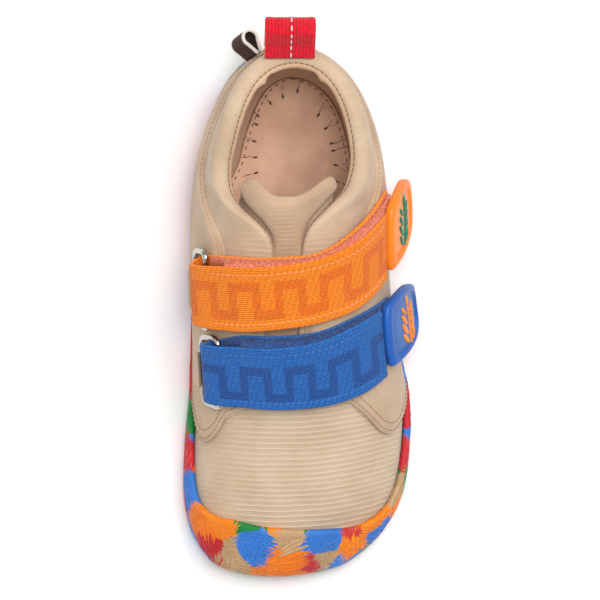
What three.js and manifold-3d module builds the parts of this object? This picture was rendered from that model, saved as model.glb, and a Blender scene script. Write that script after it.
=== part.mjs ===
// A child's prewalker shoe for the left foot: a soft suede upper on a rubber cup sole, closed by two
// webbing straps that turn back through metal rings. Millimetres, +Z up, toe towards -Y, heel towards +Y,
// medial side towards -X. The origin lies on the tread, under the middle of the foot.
import * as THREE from "three";
import { mergeVertices } from "three/addons/utils/BufferGeometryUtils.js";
import Module from "manifold-3d";

// The last, which is the outer face of the upper
const lastLength = 150.8;
const lastToeY = -75.3;
const ballHalfWidth = 30.9;
const coneHeight = 84;
const heelLean = 2.6;
const leanHeight = 48;
const tuckHeight = 22;

// The cup sole
const soleThickness = 3.7;
const cupWall = 2;
const toeSpring = 5.5;
const springShare = 0.24;
const treadBevel = 1.1;
const grooveDepth = 1.2;
const grooveWidth = 1.6;
const groovePitch = 9;
const grooveMargin = 6;

// The upper's wall, collar and throat
const fitGap = 0.3;
const lapGap = 0.7;
const upperWall = 1.8;
const collarThickness = 6;
const collarSwell = 1.2;
const collarDepth = 13;
const throatRim = 2.2;
const insoleThickness = 2.4;

// The padding low in the heel, by side and at the back seam, and the heights between which it thins out
const heelPad = { medial: 6.5, lateral: 2.6, back: 5.5 };
const padBottom = 10;
const padTop = 42;

// The quarters, which lap over the vamp
const quarterThickness = 1;
const throatMargin = 1.8;
const collarBand = 16;
const bandStart = 0.5;
const bandEnd = 0.61;
const throatEnd = 0.62;
const collarStart = 0.76;

// The tongue
const tongueThickness = 3;
const tongueSwell = 5;
const tongueStart = 0.3;
const tongueMiddle = 0.706;
const tongueLobe = 0.034;
const tongueCorner = 0.05;

// Straps, their fastening tape, rings and keepers
const webbingThickness = 1.2;
const tapeThickness = 0.8;
const foldBulge = 1.8;
const ringInset = 2.6;
const foldLength = 9;
const wireDiameter = 1.8;
const ringGap = 6.4;
const ringBend = 2.2;
const keeperThickness = 1.2;
const keeperReach = 7;
const keeperShare = 0.62;

// The rubber tabs at the strap ends
const tabLength = 21;
const tabThickness = 2.8;
const tabFrame = 2.4;
const tabRecess = 0.9;
const tabLean = 1.6;

// The pull loop at the heel and the ribbon loop beside it
const pullWidth = 14.2;
const pullThickness = 1.5;
const pullLength = 11.2;
const pullGap = 3.2;
const pullLean = 42;
const pullX = -4.2;
const ribbonHeight = 10;
const ribbonThickness = 0.8;
const ribbonLength = 7;
const ribbonGap = 3.4;
const ribbonTilt = 22;
const ribbonSeat = 0.948;

// How finely the curved faces are divided
const halfColumns = 32;
const cupRows = 5;
const wallRows = 8;
const rimSteps = 4;
const pathSamples = 70;

// Sections of the last from toe to heel. share is of its length, half and centre are shares of half the
// ball width, rise is a share of the cone height, square is the section's exponent, and tuck is how
// far the feather edge draws in below the fullest width.
const lastSections = [
  { share: 0, half: 0, centre: -0.235, rise: 0, square: 2.1, tuck: 0 },
  { share: 0.018, half: 0.53, centre: -0.19, rise: 0.068, square: 2.1, tuck: 0 },
  { share: 0.04, half: 0.68, centre: -0.155, rise: 0.103, square: 2.15, tuck: 0 },
  { share: 0.0816, half: 0.843, centre: -0.107, rise: 0.152, square: 2.2, tuck: 0 },
  { share: 0.1465, half: 0.956, centre: -0.05, rise: 0.228, square: 2.3, tuck: 0 },
  { share: 0.2387, half: 0.995, centre: -0.012, rise: 0.292, square: 2.3, tuck: 0.01 },
  { share: 0.332, half: 0.989, centre: 0.003, rise: 0.357, square: 2.3, tuck: 0.03 },
  { share: 0.45, half: 0.944, centre: -0.052, rise: 0.452, square: 2.35, tuck: 0.08 },
  { share: 0.55, half: 0.919, centre: -0.092, rise: 0.524, square: 2.4, tuck: 0.14 },
  { share: 0.65, half: 0.903, centre: -0.107, rise: 0.601, square: 2.5, tuck: 0.15 },
  { share: 0.74, half: 0.868, centre: -0.105, rise: 0.68, square: 2.6, tuck: 0.14 },
  { share: 0.82, half: 0.79, centre: -0.098, rise: 0.774, square: 2.6, tuck: 0.12 },
  { share: 0.9, half: 0.64, centre: -0.095, rise: 0.87, square: 2.6, tuck: 0.09 },
  { share: 0.96, half: 0.43, centre: -0.095, rise: 0.94, square: 2.6, tuck: 0.05 },
  { share: 1, half: 0, centre: -0.084, rise: 1, square: 2.6, tuck: 0.04 },
];

// The edge of the opening from the end of the throat round the collar to the back seam. medial and
// lateral say how far from the centre line it lies, as signed shares of the half width there.
const openingEdge = [
  { share: 0.335, medial: -0.18, lateral: -0.18 },
  { share: 0.338, medial: -0.25, lateral: -0.11 },
  { share: 0.352, medial: -0.32, lateral: -0.04 },
  { share: 0.38, medial: -0.335, lateral: -0.025 },
  { share: 0.47, medial: -0.31, lateral: 0.02 },
  { share: 0.58, medial: -0.22, lateral: 0.085 },
  { share: 0.625, medial: -0.23, lateral: 0.115 },
  { share: 0.655, medial: -0.36, lateral: 0.2 },
  { share: 0.69, medial: -0.6, lateral: 0.42 },
  { share: 0.725, medial: -0.74, lateral: 0.64 },
  { share: 0.77, medial: -0.8, lateral: 0.76 },
  { share: 0.82, medial: -0.81, lateral: 0.805 },
  { share: 0.88, medial: -0.83, lateral: 0.83 },
  { share: 0.94, medial: -0.86, lateral: 0.86 },
  { share: 0.98, medial: -0.885, lateral: 0.885 },
  { share: 1, medial: -0.9, lateral: 0.9 },
];

// Height of the cup's rim above the feather edge, as shares of the bumper height, by the way round
// from the toe (0) to the back seam (1).
const bumperHeight = 9.6;
const cupRim = [
  { way: 0, rise: 1 },
  { way: 0.1, rise: 0.98 },
  { way: 0.19, rise: 0.8 },
  { way: 0.28, rise: 0.66 },
  { way: 0.42, rise: 0.62 },
  { way: 0.6, rise: 0.55 },
  { way: 0.8, rise: 0.7 },
  { way: 1, rise: 0.85 },
];

// The front edge of each quarter from the cup's rim to the throat: share of the length, and how far out
// it lies as a share of the half width.
const quarterFront = {
  medial: [
    { share: 0.315, out: 0.985 },
    { share: 0.262, out: 0.93 },
    { share: 0.241, out: 0.86 },
    { share: 0.26, out: 0.775 },
    { share: 0.292, out: 0.71 },
    { share: 0.306, out: 0.62 },
    { share: 0.322, out: 0.46 },
    { share: 0.345, out: 0.4 },
  ],
  lateral: [
    { share: 0.335, out: 0.985 },
    { share: 0.289, out: 0.92 },
    { share: 0.262, out: 0.84 },
    { share: 0.266, out: 0.74 },
    { share: 0.293, out: 0.62 },
    { share: 0.32, out: 0.49 },
    { share: 0.332, out: 0.36 },
    { share: 0.333, out: 0.2 },
    { share: 0.345, out: 0.06 },
  ],
};

// Edges of each strap by the angle round the foot, from the medial fold to the lateral end. toe and heel
// are shares of the last's length, and under is how far the lower run shows past the upper one.
const strapEdges = {
  upper: [
    { angle: 22, toe: 0.502, heel: 0.596, under: 2 },
    { angle: 38, toe: 0.482, heel: 0.594, under: 2 },
    { angle: 60, toe: 0.471, heel: 0.591, under: 2.2 },
    { angle: 83, toe: 0.476, heel: 0.594, under: 1.6 },
    { angle: 100, toe: 0.489, heel: 0.609, under: 0.8 },
    { angle: 120, toe: 0.516, heel: 0.642, under: 2.2 },
    { angle: 142, toe: 0.572, heel: 0.694, under: 2.2 },
    { angle: 165, toe: 0.62, heel: 0.742, under: 1.5 },
  ],
  lower: [
    { angle: 30, toe: 0.342, heel: 0.441, under: 0.1 },
    { angle: 44, toe: 0.334, heel: 0.445, under: 0.1 },
    { angle: 62, toe: 0.327, heel: 0.442, under: 2.2 },
    { angle: 82, toe: 0.324, heel: 0.441, under: 2.4 },
    { angle: 98, toe: 0.331, heel: 0.453, under: 1.8 },
    { angle: 116, toe: 0.351, heel: 0.48, under: 1.2 },
    { angle: 137, toe: 0.389, heel: 0.508, under: 0.8 },
    { angle: 165, toe: 0.424, heel: 0.54, under: 0.8 },
  ],
};
// Where each strap folds, ends and is sewn down, as angles, and how far its ring stands past its edges.
const strapRuns = {
  upper: { fold: 37.5, end: 137, anchor: 150, ringToe: 1.2, ringHeel: 3.4 },
  lower: { fold: 42, end: 131, anchor: 146, ringToe: 1.8, ringHeel: 1.4 },
};

// Outline of a strap tab: along is a share of its length, across a share of the strap's half width.
const tabOutline = [
  { along: 0, across: -0.74 },
  { along: 0.12, across: -0.84 },
  { along: 0.55, across: -0.7 },
  { along: 0.9, across: -0.36 },
  { along: 1, across: -0.18 },
  { along: 1, across: 0.82 },
  { along: 0.9, across: 1.1 },
  { along: 0.55, across: 1.36 },
  { along: 0.12, across: 1.2 },
  { along: 0, across: 1.0 },
];

// Levels above the last at which the layers lie
const quarterLevel = lapGap;
const webbingLevel = quarterLevel + quarterThickness + fitGap;
const tapeLevel = webbingLevel + webbingThickness + fitGap;
const topRunLevel = tapeLevel + tapeThickness + fitGap;
const cupInside = fitGap;
const cupOutside = cupInside + cupWall;
const feather = soleThickness + fitGap;

const radians = THREE.MathUtils.degToRad;
const lerp = THREE.MathUtils.lerp;
const smooth = THREE.MathUtils.smoothstep;

// Makes a smooth function of x through the rows of a table, by Catmull-Rom slopes.
function curveThrough(rows, xOf, yOf) {
  const xs = rows.map(xOf);
  const ys = rows.map(yOf);
  const slope = (i) => {
    const low = Math.max(i - 1, 0);
    const high = Math.min(i + 1, xs.length - 1);
    return (ys[high] - ys[low]) / (xs[high] - xs[low]);
  };
  return (x) => {
    let i = 0;
    while (i < xs.length - 2 && x > xs[i + 1]) i += 1;
    const span = xs[i + 1] - xs[i];
    const t = (x - xs[i]) / span;
    const t2 = t * t;
    const t3 = t2 * t;
    const start = ys[i] * (2 * t3 - 3 * t2 + 1) + slope(i) * span * (t3 - 2 * t2 + t);
    return start + ys[i + 1] * (3 * t2 - 2 * t3) + slope(i + 1) * span * (t3 - t2);
  };
}

// A place along the last is an angle from 0 at the toe to pi at the heel, so that both ends are round.
const turnOfShare = (share) => Math.acos(1 - 2 * share);
const shareOfTurn = (turn) => (1 - Math.cos(turn)) / 2;
const sectionTurn = (row) => turnOfShare(row.share);
const sectionCurve = (column) => curveThrough(lastSections, sectionTurn, (row) => row[column]);
const halfAt = sectionCurve("half");
const centreAt = sectionCurve("centre");
const riseAt = sectionCurve("rise");
const squareAt = sectionCurve("square");
const tuckAt = sectionCurve("tuck");

// How far the toe lifts off the floor at a share of the length.
function springAt(share) {
  const forward = Math.max(0, springShare - share) / springShare;
  return toeSpring * forward * forward;
}

// The section of the last at an angle along it.
function sectionAt(turn) {
  const share = shareOfTurn(turn);
  return {
    share,
    half: halfAt(turn) * ballHalfWidth,
    centre: centreAt(turn) * ballHalfWidth,
    rise: riseAt(turn) * coneHeight,
    exponent: 2 / squareAt(turn),
    tuck: tuckAt(turn),
    base: feather + springAt(share),
  };
}

// A point of the last: turn along it, phi round it from the medial feather edge to the lateral one.
function lastPoint(turn, phi) {
  const s = sectionAt(turn);
  const c = Math.cos(phi);
  const across = Math.sign(c) * Math.abs(c) ** s.exponent;
  const sine = Math.sin(phi);
  const height = s.rise * Math.sign(sine) * Math.abs(sine) ** s.exponent;
  const low = Math.max(0, 1 - Math.max(height, 0) / tuckHeight);
  const reach = s.half * across * (1 - s.tuck * low * low);
  const heelPart = smooth(turn / Math.PI, 0.7, 1);
  const lean = heelLean * heelPart * Math.max(height, 0) / leanHeight;
  const y = lastToeY + lastLength * s.share - lean;
  return new THREE.Vector3(s.centre - reach, y, s.base + height);
}

// The outward normal of the last.
function lastNormal(turn, phi) {
  const step = 2e-3;
  const t = THREE.MathUtils.clamp(turn, 0.03, Math.PI - 0.01);
  const p = THREE.MathUtils.clamp(phi, 0.02, Math.PI - 0.02);
  const along = lastPoint(t + step, p).sub(lastPoint(t - step, p));
  const round = lastPoint(t, p + step).sub(lastPoint(t, p - step));
  return round.cross(along).normalize();
}

// A point that lies a level above the last, or under it when the level is negative.
function raised(place, level) {
  const normal = lastNormal(place.turn, place.phi);
  if (Math.abs(place.phi) < 0.02 || Math.abs(place.phi - Math.PI) < 0.02) normal.setZ(0).normalize();
  return lastPoint(place.turn, place.phi).addScaledVector(normal, level);
}

// The place on the last over a point of the plan, given by share of length and share of half width.
function placeOver(share, out) {
  const turn = turnOfShare(THREE.MathUtils.clamp(share, 0, 1));
  const lean = Math.acos(Math.min(1, Math.abs(out) ** (squareAt(turn) / 2)));
  return { turn, phi: out < 0 ? lean : Math.PI - lean };
}

// Splits a path of places into steps of equal length on the last.
class Path {
  constructor(places) {
    this.places = places;
    this.lengths = [0];
    for (let i = 1; i < places.length; i += 1) {
      const here = lastPoint(places[i].turn, places[i].phi);
      const before = lastPoint(places[i - 1].turn, places[i - 1].phi);
      this.lengths.push(this.lengths[i - 1] + here.distanceTo(before));
    }
    this.length = this.lengths[places.length - 1];
  }

  // The place at a distance along the path.
  at(distance) {
    const d = THREE.MathUtils.clamp(distance, 0, this.length);
    let i = 1;
    while (i < this.lengths.length - 1 && this.lengths[i] < d) i += 1;
    const t = (d - this.lengths[i - 1]) / (this.lengths[i] - this.lengths[i - 1]);
    const a = this.places[i - 1];
    const b = this.places[i];
    return { turn: lerp(a.turn, b.turn, t), phi: lerp(a.phi, b.phi, t) };
  }

  // The distance at which the path first reaches a height.
  distanceAtHeight(height) {
    const found = this.places.findIndex((p) => lastPoint(p.turn, p.phi).z >= height);
    const i = found < 1 ? 1 : found;
    const low = lastPoint(this.places[i - 1].turn, this.places[i - 1].phi).z;
    const high = lastPoint(this.places[i].turn, this.places[i].phi).z;
    return lerp(this.lengths[i - 1], this.lengths[i], (height - low) / (high - low));
  }
}

// The opening's edge on one side, as a path from the end of the throat to the back seam.
function openingPath(side) {
  const rows = openingEdge;
  const order = (row) => rows.indexOf(row);
  const shares = curveThrough(rows, order, (row) => row.share);
  const outs = curveThrough(rows, order, (row) => row[side]);
  const places = [];
  for (let i = 0; i <= 4 * pathSamples; i += 1) {
    const x = (rows.length - 1) * i / (4 * pathSamples);
    places.push(placeOver(shares(x), outs(x)));
  }
  return new Path(places);
}

// The feather edge on one side, as a path from the toe to the back seam.
function featherPath(side) {
  const phi = side === "medial" ? 0 : Math.PI;
  const places = [];
  for (let i = 0; i <= 4 * pathSamples; i += 1) {
    places.push({ turn: Math.PI * i / (4 * pathSamples), phi });
  }
  return new Path(places);
}

const sides = { medial: {}, lateral: {} };
for (const side of ["medial", "lateral"]) {
  sides[side].opening = openingPath(side);
  sides[side].feather = featherPath(side);
}

// The line up the upper from the feather edge to the opening, by the way round from toe to back seam.
function columnAt(side, way) {
  const { opening, feather: edge } = sides[side];
  const start = edge.at(way * edge.length);
  const end = opening.at(way ** 1.8 * opening.length);
  const sign = side === "medial" ? -1 : 1;
  const from = sectionAt(start.turn);
  const to = lastPoint(end.turn, end.phi);
  const toShare = shareOfTurn(end.turn);
  const upright = smooth(way, 0.5, 0.75);
  const startX = from.centre + sign * from.half;
  const places = [];
  for (let i = 0; i <= pathSamples; i += 1) {
    const t = (i / pathSamples) ** 2;
    const share = lerp(from.share, toShare, t);
    const s = sectionAt(turnOfShare(share));
    const out = (lerp(startX, to.x, t) - s.centre) / Math.max(s.half, 0.5);
    const straight = placeOver(share, i ? THREE.MathUtils.clamp(out, -1, 1) : sign);
    const turn = lerp(start.turn, end.turn, i / pathSamples);
    const phi = lerp(start.phi, end.phi, i / pathSamples);
    places.push({ turn: lerp(straight.turn, turn, upright), phi: lerp(straight.phi, phi, upright) });
  }
  places[pathSamples] = end;
  return new Path(places);
}

// All columns round the shoe: from the toe along the medial side to the heel, and back laterally.
const columns = [];
for (let i = 0; i < 2 * halfColumns; i += 1) {
  const medial = i <= halfColumns;
  const way = medial ? i / halfColumns : 2 - i / halfColumns;
  const side = medial ? "medial" : "lateral";
  columns.push({ side, way, path: columnAt(side, way) });
}

const rimRise = curveThrough(cupRim, (row) => row.way, (row) => row.rise);

// The distance up a column at which the cup's rim lies.
function rimDistance(column) {
  const base = lastPoint(column.path.places[0].turn, column.path.places[0].phi).z;
  return column.path.distanceAtHeight(base + rimRise(column.way) * bumperHeight);
}

// Builds a closed geometry from loops of equal length, capped at both ends unless it wraps round.
function loft(loops, wrap = false) {
  const count = loops[0].length;
  const positions = loops.flat().flatMap((p) => [p.x, p.y, p.z]);
  const index = [];
  const last = wrap ? loops.length : loops.length - 1;
  for (let i = 0; i < last; i += 1) {
    const a = i * count;
    const b = ((i + 1) % loops.length) * count;
    for (let j = 0; j < count; j += 1) {
      const k = (j + 1) % count;
      index.push(a + j, b + j, b + k, a + j, b + k, a + k);
    }
  }
  if (!wrap) {
    capLoop(index, 0, count, true);
    capLoop(index, (loops.length - 1) * count, count, false);
  }
  const geometry = new THREE.BufferGeometry();
  geometry.setAttribute("position", new THREE.Float32BufferAttribute(positions, 3));
  geometry.setIndex(index);
  return faceOut(mergeVertices(geometry, 1e-4));
}

// Fills a loop by joining each of its points with the one across it.
function capLoop(index, start, count, reversed) {
  for (let j = 0; j < count / 2 - 1; j += 1) {
    const a = start + j;
    const b = start + j + 1;
    const c = start + count - 2 - j;
    const d = start + count - 1 - j;
    if (reversed) index.push(a, b, c, a, c, d);
    else index.push(a, c, b, a, d, c);
  }
}

// Six times the volume that a geometry's triangles enclose.
function enclosed(geometry) {
  const p = geometry.getAttribute("position");
  const [a, b, c] = [new THREE.Vector3(), new THREE.Vector3(), new THREE.Vector3()];
  let sum = 0;
  for (let i = 0; i < geometry.index.count; i += 3) {
    a.fromBufferAttribute(p, geometry.index.getX(i));
    b.fromBufferAttribute(p, geometry.index.getX(i + 1));
    c.fromBufferAttribute(p, geometry.index.getX(i + 2));
    sum += a.dot(b.cross(c));
  }
  return sum;
}

// Drops triangles that have no area and turns the rest to face outwards.
function faceOut(geometry) {
  const kept = [];
  for (let i = 0; i < geometry.index.count; i += 3) {
    const corner = [0, 1, 2].map((k) => geometry.index.getX(i + k));
    if (new Set(corner).size === 3) kept.push(...corner);
  }
  geometry.setIndex(kept);
  if (enclosed(geometry) > 0) return geometry;
  for (let i = 0; i < kept.length; i += 3) [kept[i + 1], kept[i + 2]] = [kept[i + 2], kept[i + 1]];
  geometry.setIndex(kept);
  return geometry;
}

// A skin between two levels over a grid of places, as a closed loop for each row of the grid.
function skin(grid, lowLevel, highLevel) {
  const loops = grid.map((row, i) => {
    const top = row.map((place, j) => raised(place, highLevel(i, j)));
    const under = row.map((place, j) => raised(place, lowLevel(i, j)));
    return [...top, ...under.reverse()];
  });
  return loft(loops);
}

// How far an edge of the opening has turned from throat (0) into collar (1).
function collarPart(column) {
  const share = shareOfTurn(column.path.at(column.path.length).turn);
  return smooth(share, throatEnd, collarStart);
}

// How thick the upper is at its edge.
const edgeThickness = (column) => lerp(throatRim, collarThickness, collarPart(column));

// How far below the opening's edge the quarter stops: close to it at the throat, far below the collar.
function edgeMargin(column) {
  const share = shareOfTurn(column.path.at(column.path.length).turn);
  return lerp(throatMargin, collarBand, smooth(share, bandStart, bandEnd));
}

// How much thicker the wall is low in the heel, where the lining is padded.
function padAt(column, distance) {
  const side = lerp(heelPad[column.side], heelPad.back, smooth(column.way, 0.85, 1));
  return side * collarPart(column) * (1 - smooth(distance, padBottom, padTop));
}

// The distances up a column of the rows behind the cup, closer together at the feather edge.
function lowRows(column) {
  const top = rimDistance(column);
  return Array.from({ length: cupRows }, (_, j) => top * (j / (cupRows - 1)) ** 1.4);
}

// The distances up a column of the rows from the cup's rim to where the opening's edge rounds over.
function highRows(column, stop) {
  const top = rimDistance(column);
  return Array.from({ length: wallRows }, (_, j) => lerp(top, stop, (j + 1) / wallRows));
}

// The hollow upper: its outer face, its rounded rim and its inner face, one closed loop per column.
function upperGeometry() {
  const loops = columns.map((column) => {
    const { path } = column;
    const rim = edgeThickness(column);
    const padded = (rim - throatRim) / (collarThickness - throatRim);
    const stop = path.length - rim / 2;
    const swellAt = (d) => {
      const near = Math.max(0, 1 - (stop - d) / collarDepth);
      return near * near * (3 - 2 * near);
    };
    const outer = [];
    const inner = [];
    for (const d of [...lowRows(column), ...highRows(column, stop)]) {
      const swell = swellAt(d);
      const high = collarSwell * padded * smooth(d, path.length - edgeMargin(column), stop);
      const thick = lerp(upperWall + padAt(column, d), rim, swell);
      outer.push(raised(path.at(d), high));
      inner.push(raised(path.at(d), high - thick));
    }
    const top = outer[outer.length - 1];
    const bottom = inner[inner.length - 1];
    const middle = top.clone().add(bottom).multiplyScalar(0.5);
    const spoke = top.clone().sub(middle);
    const ahead = raised(path.at(path.length), 0).sub(raised(path.at(stop - 1), 0)).normalize();
    const across = spoke.clone().normalize();
    ahead.addScaledVector(across, -ahead.dot(across)).normalize().multiplyScalar(spoke.length());
    const round = [];
    for (let k = 1; k < rimSteps; k += 1) {
      const angle = Math.PI * k / rimSteps;
      const p = middle.clone().addScaledVector(spoke, Math.cos(angle));
      round.push(p.addScaledVector(ahead, Math.sin(angle)));
    }
    return [...outer, ...round, ...inner.reverse()];
  });
  return loft(loops, true);
}

// The cup sole: a floor with a wall that hugs the upper and rises into a toe bumper.
function soleGeometry() {
  const profile = (column) => {
    const { path } = column;
    const foot = path.places[0];
    const ground = springAt(shareOfTurn(foot.turn));
    const rows = lowRows(column);
    const top = rows[cupRows - 1];
    const plan = (level, z) => raised(foot, level).setZ(z);
    const points = [
      plan(cupOutside - treadBevel, ground),
      plan(cupOutside + 0.25, ground + treadBevel),
      plan(cupOutside + 0.25, ground + soleThickness * 0.8),
    ];
    for (const d of rows) points.push(raised(path.at(d), cupOutside));
    points.push(raised(path.at(top + cupWall * 0.25), cupInside + cupWall * 0.6));
    points.push(raised(path.at(top + cupWall * 0.2), cupInside + cupWall * 0.2));
    for (const d of rows.reverse()) points.push(raised(path.at(d), cupInside));
    points.push(plan(cupInside, ground + soleThickness));
    return points;
  };
  const profiles = columns.map(profile);
  const loops = profiles[0].map((_, row) => profiles.map((points) => points[row]));
  return loft(loops);
}

// One groove across the tread, as a bent bar that ends inside the sole's edge.
function grooveGeometry(y) {
  const turn = turnOfShare((y - lastToeY) / lastLength);
  const s = sectionAt(turn);
  const reach = s.half * (1 - s.tuck) + cupOutside - grooveMargin;
  const ground = springAt(s.share);
  const steps = 4;
  const loops = [];
  for (let i = 0; i <= steps; i += 1) {
    const across = lerp(-1, 1, i / steps);
    const x = s.centre + across * reach;
    const bow = y + groovePitch / 3 * across * across;
    const corner = (dy, z) => new THREE.Vector3(x, bow + dy, z);
    const half = grooveWidth / 2;
    loops.push([
      corner(-half, ground - 2),
      corner(-half, ground + grooveDepth),
      corner(half, ground + grooveDepth),
      corner(half, ground - 2),
    ]);
  }
  return loft(loops);
}

const wasm = await Module();
wasm.setup();

// A closed geometry as a solid that can be cut.
function toSolid(geometry) {
  const vertProperties = geometry.getAttribute("position").array;
  const triVerts = new Uint32Array(geometry.index.array);
  return new wasm.Manifold(new wasm.Mesh({ numProp: 3, vertProperties, triVerts }));
}

// A solid as a geometry again.
function toGeometry(solid) {
  const mesh = solid.getMesh();
  const geometry = new THREE.BufferGeometry();
  geometry.setAttribute("position", new THREE.BufferAttribute(mesh.vertProperties, 3));
  geometry.setIndex(new THREE.BufferAttribute(mesh.triVerts, 1));
  return geometry;
}

// The sole with its flex grooves cut into the tread, on both sides of the origin.
function treadedSole() {
  let solid = toSolid(soleGeometry());
  const clearEnd = 12;
  const first = Math.ceil((lastToeY + clearEnd) / groovePitch);
  const last = Math.floor((lastToeY + lastLength - clearEnd) / groovePitch);
  for (let i = first; i < last; i += 1) {
    solid = solid.subtract(toSolid(grooveGeometry((i + 0.5) * groovePitch)));
  }
  return toGeometry(solid);
}

// The insole, which fills the inside of the upper just above the cup's floor.
function insoleGeometry() {
  const ring = (rise, inset) => columns.map((column) => {
    const foot = column.path.places[0];
    const base = lastPoint(foot.turn, foot.phi).z;
    const distance = column.path.distanceAtHeight(base + Math.max(rise, 0.05));
    const level = -upperWall - lapGap - padAt(column, distance);
    return raised(column.path.at(distance), level - inset).setZ(base + rise);
  });
  const edge = insoleThickness * 0.3;
  return loft([
    ring(0, 0),
    ring(insoleThickness - edge, 0.25),
    ring(insoleThickness, edge),
  ]);
}

// A patch of places between four border curves, each a function from 0 to 1.
function patch(bottom, top, front, back, countU, countV) {
  const grid = [];
  const corner = [front(0), back(0), front(1), back(1)];
  for (let i = 0; i <= countU; i += 1) {
    const u = i / countU;
    const row = [];
    for (let j = 0; j <= countV; j += 1) {
      const v = j / countV;
      const [b, t, f, k] = [bottom(u), top(u), front(v), back(v)];
      const mix = (key) => {
        const edges = lerp(b[key], t[key], v) + lerp(f[key], k[key], u);
        const low = lerp(corner[0][key], corner[1][key], u);
        const high = lerp(corner[2][key], corner[3][key], u);
        return edges - lerp(low, high, v);
      };
      row.push({ turn: mix("turn"), phi: mix("phi") });
    }
    grid.push(row);
  }
  return grid;
}

// One quarter: a skin from its front edge to the back seam, between the cup's rim and the collar.
function quarterGeometry(side) {
  const sign = side === "medial" ? -1 : 1;
  const rows = quarterFront[side];
  const order = (row) => rows.indexOf(row);
  const shares = curveThrough(rows, order, (row) => row.share);
  const outs = curveThrough(rows, order, (row) => row.out * sign);
  const front = (v) => placeOver(shares(v * (rows.length - 1)), outs(v * (rows.length - 1)));
  const wayOf = (test) => {
    let way = 0;
    while (way < 1 && test(columnAt(side, way)) < 0) way += 0.005;
    return way;
  };
  const startTurn = front(0).turn;
  const endTurn = front(1).turn;
  const lowWay = wayOf((path) => path.places[0].turn - startTurn);
  const highWay = wayOf((path) => path.at(path.length - throatMargin).turn - endTurn);
  const lastWay = 1 - 0.3 / sides[side].feather.length;
  const bottomAt = (way) => {
    const column = { way, path: columnAt(side, way) };
    return column.path.at(rimDistance(column) + cupWall * 0.25 + fitGap);
  };
  const topAt = (way) => {
    const path = columnAt(side, way);
    return path.at(path.length - edgeMargin({ path }));
  };
  const first = { low: bottomAt(lowWay), high: topAt(highWay) };
  const fitted = (v) => {
    const p = front(v);
    const [a, b] = [front(0), front(1)];
    const shift = (key) => lerp(first.low[key] - a[key], first.high[key] - b[key], v);
    return { turn: p.turn + shift("turn"), phi: p.phi + shift("phi") };
  };
  const bottom = (u) => bottomAt(lerp(lowWay, lastWay, u));
  const top = (u) => topAt(lerp(highWay, lastWay, u));
  const [backLow, backHigh] = [bottomAt(lastWay), topAt(lastWay)];
  const back = (v) => ({
    turn: lerp(backLow.turn, backHigh.turn, v),
    phi: lerp(backLow.phi, backHigh.phi, v),
  });
  const grid = patch(bottom, top, fitted, back, 21, 9);
  return skin(grid, () => quarterLevel, () => quarterLevel + quarterThickness);
}

// The padded tongue: under the throat it lies inside the upper, and above it it swells up.
function tongueGeometry() {
  const rows = 13;
  const across = 12;
  const endShare = (u) => {
    const corner = THREE.MathUtils.clamp((Math.abs(u) - 0.7) / 0.3, 0, 1);
    const cut = tongueCorner * (1 - Math.sqrt(1 - corner * corner));
    return tongueMiddle + tongueLobe * smooth(Math.abs(u), 0.1, 0.72) - cut;
  };
  const medialEdge = curveThrough(openingEdge.slice(1), (row) => row.share, (row) => row.medial);
  const lateralEdge = curveThrough(openingEdge.slice(1), (row) => row.share, (row) => row.lateral);
  const loops = [];
  for (let i = 0; i <= rows; i += 1) {
    const top = [];
    const under = [];
    for (let j = 0; j <= across; j += 1) {
      const u = lerp(-1, 1, j / across);
      const share = lerp(tongueStart, endShare(u), i / rows);
      const seen = Math.max(share, openingEdge[2].share);
      const [m, l] = [medialEdge(seen), lateralEdge(seen)];
      const high = smooth(share, 0.58, 0.7);
      const middle = (m + l) / 2;
      const out = middle + u * lerp(0.34, 0.69, high);
      const place = placeOver(share, out);
      const room = upperWall + fitGap + lerp(0.2, collarThickness - upperWall + 0.1, high);
      const inside = (out - middle) / ((l - m) / 2);
      const open = Math.max(0, 1 - inside * inside);
      const level = -room + (tongueSwell + 1.2) * high * Math.sqrt(open);
      const thin = Math.sqrt(Math.max(0.1, 1 - u ** 4));
      top.push(raised(place, level));
      under.push(raised(place, level - tongueThickness * thin));
    }
    loops.push([...top, ...under.reverse()]);
  }
  return loft(loops);
}

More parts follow.
